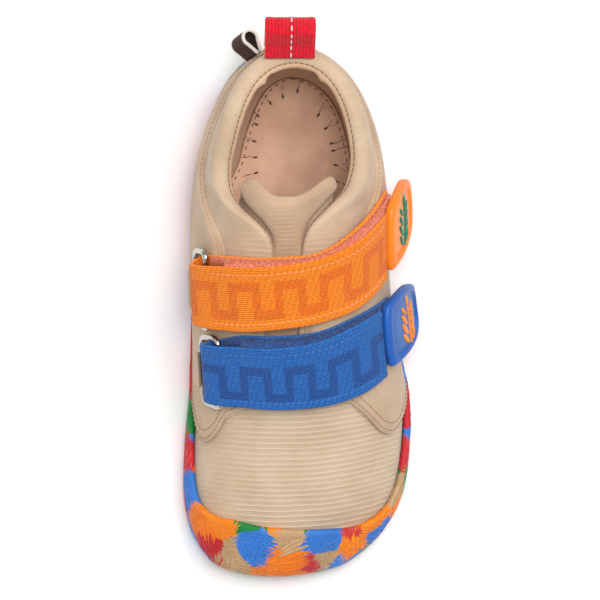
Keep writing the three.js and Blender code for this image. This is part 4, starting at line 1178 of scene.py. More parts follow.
@dataclass
class CupSole:
    """The rubber cup sole with its toe bumper, combed relief and flex grooves."""

    half_columns: int = 150
    wall_rows: int = 12
    across: int = 16
    strokes: int = 900
    seed: int = 11

    def profile(self, way: float, path: LastPath) -> np.ndarray:
        """One upright section of the cup, from under the tread over the rim to the floor inside."""
        ground = float(LAST.spring(LAST.share_of(path.turn[0])))
        top = COLUMNS.rim(path, way)
        foot = (path.turn[0], path.phi[0])

        def plan(level: float, z: float) -> np.ndarray:
            """A point beside the feather edge at a height of its own."""
            place = LAST.raised(*foot, level)
            place[2] = z
            return place

        points = [plan(SIZE.cup_outside - SIZE.tread_bevel, ground)]
        for angle in (0.5, 1.0):
            lean = math.sin(angle * math.pi / 2)
            rise = 1 - math.cos(angle * math.pi / 2)
            level = SIZE.cup_outside - SIZE.tread_bevel + (SIZE.tread_bevel + 0.25) * lean
            points.append(plan(level, ground + SIZE.tread_bevel * rise))
        points.append(plan(SIZE.cup_outside + 0.3, ground + SIZE.sole * 0.62))
        points.append(plan(SIZE.cup_outside + 0.1, ground + SIZE.sole * 0.86))
        rows = top * np.linspace(0, 1, self.wall_rows) ** 1.2
        points.extend(LAST.raised(*path.at(rows), SIZE.cup_outside))
        for angle in (0.3, 0.6, 0.85):
            lift = 0.45 * math.sin(angle * math.pi)
            level = SIZE.cup_outside - SIZE.cup_wall * angle
            points.append(LAST.raised(*path.at(top + lift), level))
        points.extend(LAST.raised(*path.at(rows[::-3]), SIZE.fit_gap))
        points.append(plan(SIZE.fit_gap, ground + SIZE.sole))
        return np.array(points)

    def build(self) -> bpy.types.Object:
        """Makes the cup and cuts the grooves into its tread."""
        around = COLUMNS.around(self.half_columns)
        loops = np.array([self.profile(way, path) for _, way, path in around])
        wall = Sheet(np.concatenate([loops, loops[:1]]))
        tread, floor = Sheet(self.span(loops[:, 0])), Sheet(self.span(loops[:, -1]), material=1)
        cup = Piece("cup_sole", "sole_rubber", [PATCHES, INSOLE_LEATHER], ["outsole"])
        sole = cup.skin(wall, tread, floor)
        self.cut_grooves(sole)
        return sole

    def span(self, ring: np.ndarray) -> np.ndarray:
        """Lines straight across a ring from its medial to its lateral half."""
        half = self.half_columns
        medial = ring[: half + 1]
        lateral = np.concatenate([ring[:1], ring[: half - 1 : -1]])
        t = np.linspace(0, 1, self.across + 1)[None, :, None]
        return mix(medial[:, None], lateral[:, None], t)

    def cut_grooves(self, sole: bpy.types.Object) -> None:
        """Cuts bowed flex grooves across the tread."""
        bm = bmesh.new()
        first = math.ceil((SIZE.last_toe + 12) / SIZE.groove_pitch)
        last = math.floor((SIZE.last_toe + SIZE.last_length - 12) / SIZE.groove_pitch)
        for i in range(first, last):
            self.groove(bm, (i + 0.5) * SIZE.groove_pitch)
        weld(bm)
        bars = add_mesh("groove_bars", bm)
        cut = sole.modifiers.new("grooves", "BOOLEAN")
        cut.operation, cut.object, cut.solver = "DIFFERENCE", bars, "EXACT"
        shaped = bpy.data.meshes.new_from_object(sole.evaluated_get(bpy.context.evaluated_depsgraph_get()))
        sole.modifiers.clear()
        sole.data = shaped
        bpy.data.objects.remove(bars)

    def groove(self, bm: bmesh.types.BMesh, y: float) -> None:
        """Adds one bowed bar, a bit wider at its mouth."""
        turn = LAST.turn_of((y - SIZE.last_toe) / SIZE.last_length)
        share = float(LAST.share_of(turn))
        reach = float(LAST.half(turn) * SIZE.ball_half * (1 - LAST.tuck(turn)))
        reach += SIZE.cup_outside - SIZE.groove_margin
        centre, ground = float(LAST.centre(turn) * SIZE.ball_half), float(LAST.spring(share))
        half, depth = SIZE.groove_width / 2, ground + SIZE.groove_depth
        mouth, bottom = ground - 2, half * 0.8
        corners = [(-half, mouth), (-bottom, depth), (bottom, depth), (half, mouth), (-half, mouth)]
        loops = []
        for across in np.linspace(-1, 1, 13):
            bow = y + SIZE.groove_pitch / 3 * across**2
            loops.append([(centre + across * reach, bow + dy, z) for dy, z in corners])
        Sheet(np.array(loops)).add_to(bm)

    def build_strokes(self) -> bpy.types.Object:
        """Lays combed ridges on the wall in bundles that fan out like strokes of a stiff brush."""
        chance = random.Random(self.seed)
        sewing = Stitching("sole_relief", "sole_rubber", PATCHES)
        ranges = ((0, 2), (0, math.pi), (0.4, 1))
        bundles = [tuple(chance.uniform(*limits) for limits in ranges) for _ in range(64)]
        for _ in range(self.strokes):
            whole = chance.betavariate(0.7, 0.7) * 2 if chance.random() < 0.35 else chance.uniform(0, 2)
            if chance.random() < 0.6:
                whole = chance.gauss(0, 0.17) % 2
            side = Side.MEDIAL if whole <= 1 else Side.LATERAL
            way = whole if whole <= 1 else 2 - whole
            path = COLUMNS.at(side, way)
            top = COLUMNS.rim(path, way)
            up = chance.uniform(0.05, 0.93) * top
            turn, phi = path.at(up)
            place = LAST.raised(turn, phi, SIZE.cup_outside)
            normal = LAST.normal(turn, phi)
            upward = LAST.raised(*path.at(up + 0.5), SIZE.cup_outside) - place
            sideways = np.cross(normal, unit(upward))
            near = min(bundles, key=lambda bundle: abs((bundle[0] - whole + 1) % 2 - 1))
            angle = near[1] + (near[0] - whole) * 14 * near[2] + chance.gauss(0, 0.12)
            along = unit(upward) * math.sin(angle) + sideways * math.cos(angle)
            long = min(chance.uniform(1.2, 2.9), 0.55 * min(up, top - up) / max(0.25, abs(math.sin(angle))))
            if long > 0.5:
                sizes = (long, chance.uniform(0.2, 0.34), chance.uniform(0.1, 0.2))
                sewing.stitch(place, along, normal, sizes)
        return sewing.finish()


@dataclass(frozen=True)
class Crease:
    """A soft trough or ridge across the collar: where it lies and how deep, in mm."""

    side: Side
    way: float
    up: float
    width: float
    spread: float
    depth: float


@dataclass
class Upper:
    """The vamp, collar and lining in one skin, with the seam that joins them."""

    half_columns: int = 110
    wall_rows: int = 46
    rim_steps: int = 16
    seam_angle: float = 122.0
    creases: tuple[Crease, ...] = (
        Crease(Side.MEDIAL, 0.86, 3.0, 0.012, 7.0, 0.5),
        Crease(Side.MEDIAL, 0.905, 5.0, 0.01, 6.0, 0.35),
        Crease(Side.LATERAL, 0.88, 4.0, 0.012, 7.0, 0.5),
        Crease(Side.LATERAL, 0.93, 2.0, 0.01, 5.0, 0.4),
        Crease(Side.MEDIAL, 0.72, 9.0, 0.02, 8.0, 0.45),
        Crease(Side.LATERAL, 0.7, 9.0, 0.02, 8.0, 0.45),
        Crease(Side.LATERAL, 0.3, 16.0, 0.014, 6.0, 0.35),
    )

    def sag(self, side: Side, way: float, below: np.ndarray) -> np.ndarray:
        """How much the creases lift or sink the skin at distances below the opening's edge."""
        total = np.zeros_like(below)
        for crease in self.creases:
            if crease.side is side:
                across = float(hump(way, crease.way, crease.width)) - 0.45 * float(
                    hump(way, crease.way + 2 * crease.width, crease.width)
                )
                total -= crease.depth * across * hump(below, crease.up, crease.spread)
        return total

    @staticmethod
    def fold(side: Side, way: float) -> float:
        """How far the lining's roll folds inwards in mm, near the heel loop on both sides."""
        centre, depth = (0.935, 0.9) if side is Side.MEDIAL else (0.945, 0.75)
        return float(depth * hump(way, centre, 0.008) - 0.5 * depth * hump(way, centre + 0.017, 0.008))

    def column(self, side: Side, way: float, path: LastPath) -> tuple[np.ndarray, np.ndarray, np.ndarray]:
        """One column: points from the feather edge over the rim and down inside, and the seam there."""
        part = COLUMNS.collar_part(path)
        rim = float(mix(SIZE.throat_rim, SIZE.collar, part))
        stop = path.length - rim / 2
        d = stop * np.linspace(0, 1, self.wall_rows) ** 0.85
        near = np.clip(1 - (stop - d) / SIZE.collar_depth, 0, 1)
        swell = near * near * (3 - 2 * near)
        high = SIZE.collar_swell * part * smooth(d, path.length - COLUMNS.edge_margin(path), stop)
        high = high + self.sag(side, way, path.length - d) * smooth(d, 3, 8) * (1 - smooth(d, stop - 5, stop - 1))
        fold = self.fold(side, way)
        thick = mix(SIZE.upper_wall + COLUMNS.pad(side, way, path, d), rim, swell)
        outer = LAST.raised(*path.at(d), high)
        inner = LAST.raised(*path.at(d), high - thick)
        middle = (outer[-1] + inner[-1]) / 2
        spoke = outer[-1] - middle
        ahead = LAST.raised(*path.at(path.length), 0) - LAST.raised(*path.at(stop - 1), 0)
        ahead = unit(ahead - unit(spoke) * ahead.dot(unit(spoke))) * np.linalg.norm(spoke)
        degrees = np.linspace(0, 180, self.rim_steps + 1)
        nearest = int(np.argmin(np.abs(degrees - self.seam_angle)))
        degrees[nearest] = self.seam_angle
        swing = np.radians(degrees[1:-1])
        roll = 1 - 0.1 * part * hump(degrees[1:-1], self.seam_angle, 7)
        roll += 0.05 * part * hump(degrees[1:-1], self.seam_angle + 34, 18)
        roll += 2 * fold / rim * smooth(degrees[1:-1], self.seam_angle + 6, 176)
        ring = middle + np.outer(np.cos(swing) * roll, spoke) + np.outer(np.sin(swing) * roll, ahead)
        inner = LAST.raised(*path.at(d), high - thick - fold * near)
        points = np.concatenate([outer, ring, inner[::-1], outer[:1]])
        index = self.wall_rows + nearest - 1
        out = unit(points[index] - middle)
        return points, points[index], out

    def build(self) -> bpy.types.Object:
        """Makes the skin, suede outside and lining inside, and sews the collar seam."""
        around = COLUMNS.around(self.half_columns)
        made = [self.column(*column) for column in [*around, around[0]]]
        points = np.array([m[0] for m in made])
        split = self.wall_rows + int(round(self.seam_angle / 180 * self.rim_steps)) - 1
        skin = Piece("upper_skin", "suede", [SUEDE, LINING], ["upper"])
        upper = skin.skin(Sheet(points[:, : split + 1]), Sheet(points[:, split:], material=1))
        seam = Stitching("collar_seam", "suede", THREAD_BROWN, 1.5, 0.16, 1.6)
        line, out = np.array([m[1] for m in made]), np.array([m[2] for m in made])
        collar = [i for i, (_, way, path) in enumerate(around) if COLUMNS.collar_part(path) > 0.02]
        seam.run(line[collar], out[collar], 0.12)
        seam.finish()
        return upper


# Needle dimples near the insole's edge, x and y in mm, where threads pull the leather in
INSOLE_DIMPLES = (
    (-8.3, 60.5),
    (-12.0, 56.8),
    (-12.5, 54.3),
    (-13.0, 49.3),
    (-12.7, 44.6),
    (-12.5, 40.1),
    (-4.7, 62.4),
    (-0.4, 64.1),
    (5.7, 57.0),
    (7.9, 53.1),
    (9.6, 48.7),
    (10.1, 46.6),
    (10.7, 42.4),
    (10.9, 37.6),
)


@dataclass
class Insole:
    """The leather sock on the cup's floor, pulled in at dimples along its edge."""

    half_columns: int = 150
    across: int = 58

    def build(self) -> bpy.types.Object:
        """Makes the sock with its dimples and their threads."""
        edge = SIZE.insole * 0.3
        rings: list[list[np.ndarray]] = [[], [], []]
        for side, way, path in COLUMNS.around(self.half_columns):
            base = path.points[0, 2]
            for ring, rise, inset in ((0, 0, 0), (1, SIZE.insole - edge, 0.05), (2, SIZE.insole, 0.3)):
                distance = path.at_height(base + max(rise, 0.05))
                level = -SIZE.upper_wall - 0.1 - float(COLUMNS.pad(side, way, path, distance))
                point = LAST.raised(*path.at(distance), level - inset)
                point[2] = base + rise
                rings[ring].append(point)
        loops = np.array(rings)
        closed = np.concatenate([loops, loops[:, :1]], axis=1)
        shape = CupSole(self.half_columns, across=self.across)
        top = shape.span(loops[2])
        t = np.linspace(0, 1, self.across + 1)[None, :]
        inside = smooth(np.minimum(t, 1 - t) * 2, 0, 0.15)
        top[:, :, 2] += self.dent(top[:, :, 0], top[:, :, 1]) * inside
        sock = Piece("insole_sock", "lining_leather", [INSOLE_LEATHER], ["insole"])
        piece = sock.skin(Sheet(closed), Sheet(top), Sheet(shape.span(loops[0])))
        self.sew(top, closed[2])
        return piece

    def dent(self, x: np.ndarray, y: np.ndarray) -> np.ndarray:
        """How deep the dimples and the creases that run out from them are."""
        total = np.zeros_like(x)
        for px, py in INSOLE_DIMPLES:
            away = unit(np.array([px + 1.0, (py - 46) * 0.9]))
            along = (x - px) * away[0] + (y - py) * away[1]
            across = -(x - px) * away[1] + (y - py) * away[0]
            total -= 0.45 * hump(along, 0, 1.1) * hump(across, 0, 0.9)
            total -= 0.22 * hump(across, 0, 0.7) * smooth(along, 0, 1.5) * (1 - smooth(along, 4, 7))
        return total

    def sew(self, top: np.ndarray, edge: np.ndarray) -> None:
        """Adds the dark thread ends in the dimples, the pulled threads beside them and the edge seam."""
        up = np.array([0, 0, 1.0])
        hole_shade = Stitching("insole_threads", "lining_leather", DARK_THREAD_AND_HOLE_SHADE, 1.3, 0.14, 2.3)
        flat = top.reshape(-1, 3)
        chance = random.Random(5)
        for px, py in INSOLE_DIMPLES:
            away = unit(np.array([px + 1.0, (py - 46) * 0.9]))
            z = flat[np.argmin((flat[:, 0] - px) ** 2 + (flat[:, 1] - py) ** 2), 2]
            place = np.array([px, py, z + 0.12])
            along = np.array([away[0], away[1], 0.0])
            hole_shade.stitch(place, along, up, (0.7, 0.34, 0.22))
            for _ in range(2):
                turn = chance.uniform(-0.45, 0.45)
                step = place
                for _ in range(chance.randint(2, 3)):
                    skew = unit(np.array([away[0] - turn * away[1], away[1] + turn * away[0], 0.0]))
                    step = step + skew * 1.25
                    step[2] = flat[np.argmin((flat[:, 0] - step[0]) ** 2 + (flat[:, 1] - step[1]) ** 2), 2] + 0.03
                    hole_shade.stitch(step, skew, up, (0.8, 0.07, 0.06))
                    turn += chance.uniform(-0.3, 0.3)
        middle = np.array([-1.5, 0, 0])
        heel = edge[edge[:, 1] > 20]
        inward = unit((middle - heel) * [1, 0, 0])
        line = heel + inward * 1.0 + up * 0.02
        gap = int(np.argmax(np.linalg.norm(np.diff(line, axis=0), axis=1)))
        line = np.concatenate([line[gap + 1 :], line[: gap + 1]])
        hole_shade.run(line, np.broadcast_to(up, line.shape), 0.1)
        hole_shade.finish()


@dataclass
class Tongue:
    """The padded tongue: ribbed across, with a lobe at each top corner."""

    rows: int = 150
    across: int = 40
    rib_pitch: float = 1.25

    def build(self) -> bpy.types.Object:
        """Makes the pad, closed all round."""
        rows = np.array(OPENING_EDGE)[1:]
        medial, lateral = curve_through(rows[:, 0], rows[:, 1]), curve_through(rows[:, 0], rows[:, 2])
        u = np.linspace(-1, 1, self.across + 1)[None, :]
        t = np.linspace(0, 1, self.rows + 1)[:, None]
        corner = np.clip((np.abs(u) - 0.7) / 0.3, 0, 1)
        end = SIZE.tongue_middle + SIZE.tongue_lobe * smooth(np.abs(u), 0.1, 0.72)
        end = end - SIZE.tongue_corner * (1 - np.sqrt(1 - corner * corner))
        share = mix(SIZE.tongue_start, end, t)
        seen = np.maximum(share, 0.352)
        m, l = medial(seen), lateral(seen)
        high = smooth(share, 0.58, 0.7)
        middle = (m + l) / 2
        out = middle + u * mix(0.34, 0.69, high)
        turn, phi = LAST.over(share, out)
        room = SIZE.upper_wall + SIZE.fit_gap + mix(0.2, SIZE.collar - SIZE.upper_wall + 0.1, high)
        inside = (out - middle) / ((l - m) / 2)
        opened = np.maximum(0, 1 - inside**2)
        level = -room + (SIZE.tongue_swell + 1.2) * high * np.sqrt(opened)
        y = SIZE.last_toe + SIZE.last_length * share
        ribs = np.sin(2 * np.pi * (y + 0.01 * (out * 30) ** 2) / self.rib_pitch)
        level = level + 0.13 * ribs * smooth(share, 0.5, 0.6) * (1 - smooth(t, 0.93, 0.985))
        puff = np.sqrt(np.clip((1 - t) / 0.04, 0, 1))
        thin = np.sqrt(np.maximum(0.05, 1 - u**4)) * puff
        centre = level - SIZE.tongue / 2
        top = LAST.raised(turn, phi, centre + (level - centre) * puff)
        under = LAST.raised(turn, phi, centre - SIZE.tongue * (thin - 0.5 * puff))
        loop = np.concatenate([top, under[:, ::-1], top[:, :1]], axis=1)
        pad = Piece("tongue_pad", "suede", [SHADED_TONGUE_SUEDE], ["tongue"]).skin(Sheet(loop))
        return pad


@dataclass
class Quarters:
    """The suede quarters that lap over the vamp, with their double rows of stitches."""

    rows_along: int = 90
    rows_up: int = 36
    edge_round: float = 0.7

    def grid(self, side: Side) -> tuple[np.ndarray, np.ndarray]:
        """Turns and phis of the patch between front edge, cup rim, collar and back seam."""
        rows = np.array(QUARTER_FRONT[side])
        order = np.arange(len(rows))
        share, out = curve_through(order, rows[:, 0]), curve_through(order, rows[:, 1] * side.value)
        last_way = 1 - 0.3 / COLUMNS.feather[side].length

        def front(v: np.ndarray) -> np.ndarray:
            """The drawn front edge as turn and phi."""
            return np.array(LAST.over(share(v * order[-1]), out(v * order[-1])))

        def low(way: float) -> np.ndarray:
            """The lower border at a way round."""
            path = COLUMNS.at(side, way)
            return np.array(path.at(COLUMNS.rim(path, way) + SIZE.cup_wall * 0.25 + SIZE.fit_gap))

        def high(way: float) -> np.ndarray:
            """The upper border at a way round."""
            path = COLUMNS.at(side, way)
            return np.array(path.at(path.length - COLUMNS.edge_margin(path)))

        start, end = front(np.array(0.0))[0], front(np.array(1.0))[0]
        ways = np.arange(0, 1.0001, 0.005)
        paths = [COLUMNS.at(side, float(way)) for way in ways]
        low_turns = [path.turn[0] for path in paths]
        high_turns = [path.at(path.length - SIZE.throat_margin)[0] for path in paths]
        low_way = ways[int(np.argmax(np.array(low_turns) >= start))]
        high_way = ways[int(np.argmax(np.array(high_turns) >= end))]
        u = self.spaced(self.rows_along, False)
        v = self.spaced(self.rows_up, True)
        bottom = np.array([low(mix(low_way, last_way, x)) for x in u])
        top = np.array([high(mix(high_way, last_way, x)) for x in u])
        shift = np.stack([mix(bottom[0] - front(np.array(0.0)), top[0] - front(np.array(1.0)), y) for y in v])
        edge = front(v).T + shift
        back = np.stack([mix(bottom[-1], top[-1], y) for y in v])
        uu, vv = u[:, None, None], v[None, :, None]
        sides = mix(bottom[:, None], top[:, None], vv) + mix(edge[None], back[None], uu)
        corners = mix(mix(edge[0], back[0], uu), mix(edge[-1], back[-1], uu), vv)
        patch = sides - corners
        return patch[..., 0], patch[..., 1]

    @staticmethod
    def spaced(count: int, both: bool) -> np.ndarray:
        """Shares from 0 to 1 that lie closer together near the edges."""
        t = np.linspace(0, 1, count + 1)
        return t - 0.13 * np.sin(2 * np.pi * t) if both else t**1.35

    def build(self, side: Side) -> bpy.types.Object:
        """Makes one quarter as a skin with rounded edges, and sews it down."""
        turn, phi = self.grid(side)
        flat = LAST.raised(turn, phi, SIZE.lap_gap)
        along = np.linalg.norm(np.diff(flat, axis=0), axis=-1)
        from_front = np.concatenate([np.zeros((1, flat.shape[1])), np.cumsum(along, axis=0)])
        upward = np.linalg.norm(np.diff(flat, axis=1), axis=-1)
        from_low = np.concatenate([np.zeros((flat.shape[0], 1)), np.cumsum(upward, axis=1)], axis=1)
        from_high = from_low[:, -1:] - from_low
        near = np.minimum(np.minimum(from_front, from_low), from_high)
        rounded = np.sqrt(1 - (1 - np.clip(near / self.edge_round, 0, 1)) ** 2)
        puff = 0.18 * hump(from_front, 2.4, 1.3) * smooth(near, 0.2, 1)
        level = SIZE.lap_gap + SIZE.quarter * (0.15 + 0.85 * rounded) + puff
        settle = 1 - smooth(from_high, 0.2, 3.5)
        level = mix(level, 0.12 + 0.3 * rounded, settle)
        top = LAST.raised(turn, phi, level)
        under = LAST.raised(turn, phi, mix(SIZE.lap_gap, -0.3, settle))
        loop = np.concatenate([top, under[:, ::-1], top[:, :1]], axis=1)
        name = side.name.lower()
        skin = Piece(f"quarter_{name}_suede", "suede", [PLAIN_SHADED_SUEDE], [f"quarter_{name}"]).skin(Sheet(loop))
        self.sew(side, name, turn, phi, level, from_front, from_low)
        return skin

    def sew(
        self,
        side: Side,
        name: str,
        turn: np.ndarray,
        phi: np.ndarray,
        level: np.ndarray,
        from_front: np.ndarray,
        from_low: np.ndarray,
    ) -> None:
        """Sews two rows along the front edge, with painted shade as dark beads at their needle holes, and one below
        the collar.
        """
        rows = Stitching(f"quarter_{name}_stitches", "suede", THREAD_BEIGE, 1.0, 0.15, 1.55)
        # Painted shade: short dark beads between the stitches stand for the shade inside the needle holes
        hole_shade = Stitching(f"quarter_{name}_holes", "suede", DARK_THREAD_AND_HOLE_SHADE, 0.42, 0.13, 1.55)
        columns = range(2, turn.shape[1] - 1)
        for inset in (1.3, 3.6):
            places = [
                [np.interp(inset, from_front[:, j], part[:, j]) for part in (turn, phi, level)] for j in columns
            ]
            t, p, height = np.array(places).T
            line, out = LAST.raised(t, p, height), LAST.normal(t, p)
            rows.run(line, out)
            hole_shade.run(line, out, 0.1, 0.0)
        hole_shade.finish()
        inset = 1.6
        span = from_low[:, -1]
        places = [
            [np.interp(span[i] - inset, from_low[i], part[i]) for part in (turn, phi, level)]
            for i in range(3, turn.shape[0])
        ]
        t, p, height = np.array(places).T
        rows.run(LAST.raised(t, p, height), LAST.normal(t, p))
        for away in (1.2, 2.6):
            i = int(np.argmin(np.abs(from_front[-1, 10] - away - from_front[:, 10])))
            rows.run(LAST.raised(turn[i], phi[i], level[i]), LAST.normal(turn[i], phi[i]))
        rows.finish()


class StrapWay:
    """The surface that a strap follows: distance from the fold, level above the last, share across."""

    def __init__(self, strap: Strap) -> None:
        """Lays the strap's middle line on the last."""
        rows = np.array(STRAP_EDGES[strap], float)
        self.run = STRAP_RUNS[strap]
        self.toe, self.heel, self.under = (curve_through(rows[:, 0], rows[:, k]) for k in (1, 2, 3))
        angle = np.linspace(rows[0, 0], rows[-1, 0], 141)
        middle = LAST.turn_of((self.toe(angle) + self.heel(angle)) / 2)
        self.path = LastPath(middle, np.radians(angle))
        self.fold_at, self.end_at, self.anchor_at = (
            float(self.path.lengths[max(1, int(np.argmax(self.path.phi >= math.radians(a))))])
            for a in (self.run.fold, self.run.end, self.run.anchor)
        )

    def angle(self, distance: np.ndarray) -> np.ndarray:
        """The angle round the foot at a distance."""
        return np.degrees(self.path.at(distance)[1])

    def point(
        self, distance: np.ndarray, level: np.ndarray, across: np.ndarray, shift: np.ndarray = 0.0
    ) -> np.ndarray:
        """Points at distances, levels and shares across, moved towards the heel by a shift in mm."""
        angle = self.angle(distance)
        share = mix(self.toe(angle), self.heel(angle), across) + np.asarray(shift) / SIZE.last_length
        return LAST.raised(LAST.turn_of(share), np.radians(angle), level)

    def width(self, distance: float) -> float:
        """The strap's width at a distance."""
        return float(np.linalg.norm(self.point(distance, 0, 0) - self.point(distance, 0, 1)))


@dataclass(frozen=True)
class BandShape:
    """Cross-section of a woven band: its thickness, rounded edges and thicker selvedges."""

    thickness: float
    width: float
    steps: int = 22
    edge: float = 0.55
    selvedge: float = 0.0
    low: float = 0.0
    high: float = 1.0

    def around(self) -> tuple[np.ndarray, np.ndarray]:
        """Shares across and offsets from the middle, all the way round the section."""
        t = np.linspace(0, 1, self.steps + 1)
        t = t - 0.14 * np.sin(2 * np.pi * t)
        near = np.minimum(t, 1 - t) * self.width * (self.high - self.low)
        rounded = np.sqrt(1 - (1 - np.clip(near / self.edge, 0, 1)) ** 2)
        half = self.thickness / 2 * (0.2 + 0.8 * rounded) + self.selvedge * hump(near, 1.1, 0.8)
        under = self.thickness / 2 * (0.2 + 0.8 * rounded)
        across = self.low + t * (self.high - self.low)
        shares = np.concatenate([across, across[::-1], across[:1]])
        return shares, np.concatenate([half, -under[::-1], half[:1]])


def sweep(line: np.ndarray, shape: BandShape) -> tuple[np.ndarray, np.ndarray, np.ndarray, np.ndarray]:
    """Carries a band's section along a flat line.

    Args:
        line: Points of the band's middle, in two columns.
        shape: The section.

    Returns:
        The skin's first and second coordinate, its shares across and its map in millimetres.
    """
    before, after = np.roll(line, 1, axis=0), np.roll(line, -1, axis=0)
    before[0], after[-1] = line[0], line[-1]
    ahead = unit(after - before)
    share, offset = shape.around()
    first = line[:, :1] - ahead[:, 1:] * offset[None]
    second = line[:, 1:] + ahead[:, :1] * offset[None]
    cloth = np.broadcast_arrays(run_lengths(line)[:, None], share[None] * shape.width)
    return first, second, share, np.stack(cloth, axis=-1)


def band(way: StrapWay, line: np.ndarray, shape: BandShape, shift: np.ndarray) -> Sheet:
    """Sweeps a band's section along a line of distances and levels.

    Args:
        way: The strap's surface.
        line: Distances and levels of the band's middle, in two columns.
        shape: The section.
        shift: Shift towards the heel at each point of the line.

    Returns:
        The skin, with a map in millimetres.
    """
    distance, level, across, cloth = sweep(line, shape)
    return Sheet(way.point(distance, level, np.broadcast_to(across, distance.shape), shift[:, None]), cloth)


@dataclass
class StrapSet:
    """One strap with its loop tape, rubber tab, ring and keeper."""

    strap: Strap
    webbing: Finish
    nap: Finish
    rubber: Finish
    panel: Finish
    relief: Finish
    thread: Finish
    words: tuple[str, str, str]
    fibres: int = 3000
    fibre: float = 0.085
    half_width: float = 9.0
    way: StrapWay = field(init=False)

    def __post_init__(self) -> None:
        """Lays out the strap's surface."""
        self.way = StrapWay(self.strap)

    @property
    def name(self) -> str:
        """The ending of the pieces' names."""
        return self.strap.value

    def build(self) -> None:
        """Makes every piece of the set."""
        self.build_webbing()
        self.build_tape()
        self.build_tab()
        self.build_ring()
        self.build_keeper()

    def line(self) -> tuple[np.ndarray, np.ndarray]:
        """The webbing's middle line from the anchor round the fold to the end, and its shift."""
        low, high = SIZE.webbing_level + SIZE.webbing / 2, SIZE.top_level + SIZE.webbing / 2
        radius = (high - low) / 2 + SIZE.fold_bulge / 2
        fold = self.way.fold_at + radius
        lower = np.linspace(self.way.anchor_at, fold, 90, endpoint=False)
        angle = np.linspace(0, np.pi, 25)
        upper = np.linspace(fold, self.way.end_at, 100)[1:]
        settle = 1 - smooth(upper, fold, fold + SIZE.fold_length)
        distance = np.concatenate([lower, fold - radius * np.sin(angle), upper])
        level = np.concatenate(
            [
                np.full(len(lower), low),
                low + radius - radius * np.cos(angle),
                high + (2 * radius - (high - low)) * settle,
            ]
        )
        t = np.linspace(0, 1, len(distance))
        turned = smooth(t, len(lower) / len(t), (len(lower) + len(angle)) / len(t))
        return np.stack([distance, level], axis=1), self.way.under(self.way.angle(distance)) * (1 - turned)

    def build_webbing(self) -> None:
        """Makes the strap in one piece and sews its edges."""
        line, shift = self.line()
        shape = BandShape(SIZE.webbing, self.way.width(self.way.fold_at + 30), 30, selvedge=0.16)
        piece = Piece(f"strap_{self.name}_webbing", self.words[0], [self.webbing], [f"strap_{self.name}"])
        piece.skin(band(self.way, line, shape, shift))
        rows = Stitching(f"strap_{self.name}_stitches", self.words[0], self.thread, 1.3, 0.15, 1.7)
        top = SIZE.top_level + SIZE.webbing
        distance = np.linspace(self.way.fold_at + 8, self.way.end_at - 1.5, 80)
        settle = 1 - smooth(distance, self.way.fold_at + 3, self.way.fold_at + 3 + SIZE.fold_length)
        for across in (0.115, 0.885):
            self.sew(rows, distance, top + SIZE.fold_bulge * settle, across, sink=0.12)
        low = SIZE.webbing_level + SIZE.webbing
        distance = np.linspace(self.way.fold_at + 12, self.way.anchor_at - 2, 90)
        self.sew(rows, distance, low, 0.985, self.way.under(self.way.angle(distance)))
        rows.finish()

    def sew(
        self,
        rows: Stitching,
        distance: np.ndarray,
        level: np.ndarray,
        across: float,
        shift: np.ndarray = 0.0,
        sink: float = 0.05,
    ) -> None:
        """Sews one row along the strap at a share across.

        Args:
            rows: The stitching that takes the row.
            distance: Places along the strap.
            level: Level of the cloth's face there.
            across: Share across.
            shift: Shift towards the heel.
            sink: How deep the thread lies.
        """
        line = self.way.point(distance, level, np.full(len(distance), across), shift)
        below = self.way.point(distance, level - 1, np.full(len(distance), across), shift)
        rows.run(line, line - below, sink)

    def build_tape(self) -> None:
        """Makes the loop tape and its standing fibres along the edge that shows."""
        level = SIZE.tape_level + SIZE.tape / 2
        start = self.way.fold_at + SIZE.fold_length + SIZE.wire
        distance = np.linspace(start, self.way.anchor_at - 2, 70)
        shift = self.way.under(self.way.angle(distance))
        line = np.stack([distance, np.full(70, level)], axis=1)
        shape = BandShape(SIZE.tape, self.way.width(start + 20), 18, 0.4, low=0.04, high=0.97)
        piece = Piece(f"loop_tape_{self.name}_pile", self.words[1], [self.nap], [f"loop_tape_{self.name}"])
        piece.skin(band(self.way, line, shape, shift))
        self.build_fibres(self.way.fold_at + SIZE.fold_bulge + SIZE.ring_inset + SIZE.wire)

    def build_fibres(self, start: float) -> None:
        """Stands short leaning loops of pile along the tape's edge and inside the fold."""
        chance = np.random.default_rng(7 if self.strap is Strap.UPPER else 8)
        count = self.fibres
        distance = chance.uniform(start, self.way.anchor_at - 2, count)
        across = 0.985 - np.abs(chance.normal(0, 0.04, count))
        shift = self.way.under(self.way.angle(distance))
        level = SIZE.tape_level + SIZE.tape * chance.uniform(0.3, 1.2, count)
        place = self.way.point(distance, level, across, shift)
        up = self.way.point(distance, level + 1, across, shift) - place
        heelward = unit(self.way.point(distance, level, across + 0.05, shift) - place)
        lean = unit(up * chance.uniform(0.1, 0.8, (count, 1)) + heelward * chance.uniform(0.2, 1.2, (count, 1)))
        lean = lean + chance.normal(0, 0.5, (count, 3))
        longs = chance.uniform(0.35, 0.75, count)
        beside = np.array([0.31, 0.52, 0.79])
        turn = Matrix.Rotation(math.pi / 2, 4, "Y")
        places = [
            frame_matrix(p, direction, beside, (long, self.fibre, self.fibre)) @ turn
            for p, direction, long in zip(place, unit(lean), longs)
        ]
        bm = bmesh.new()
        bmesh.ops.create_cone(bm, segments=4, radius1=1, radius2=0.4, depth=2, cap_ends=True)
        lay_copies(bm, places)
        Piece(f"loop_tape_{self.name}_fibres", self.words[1], [self.nap]).join(bm)

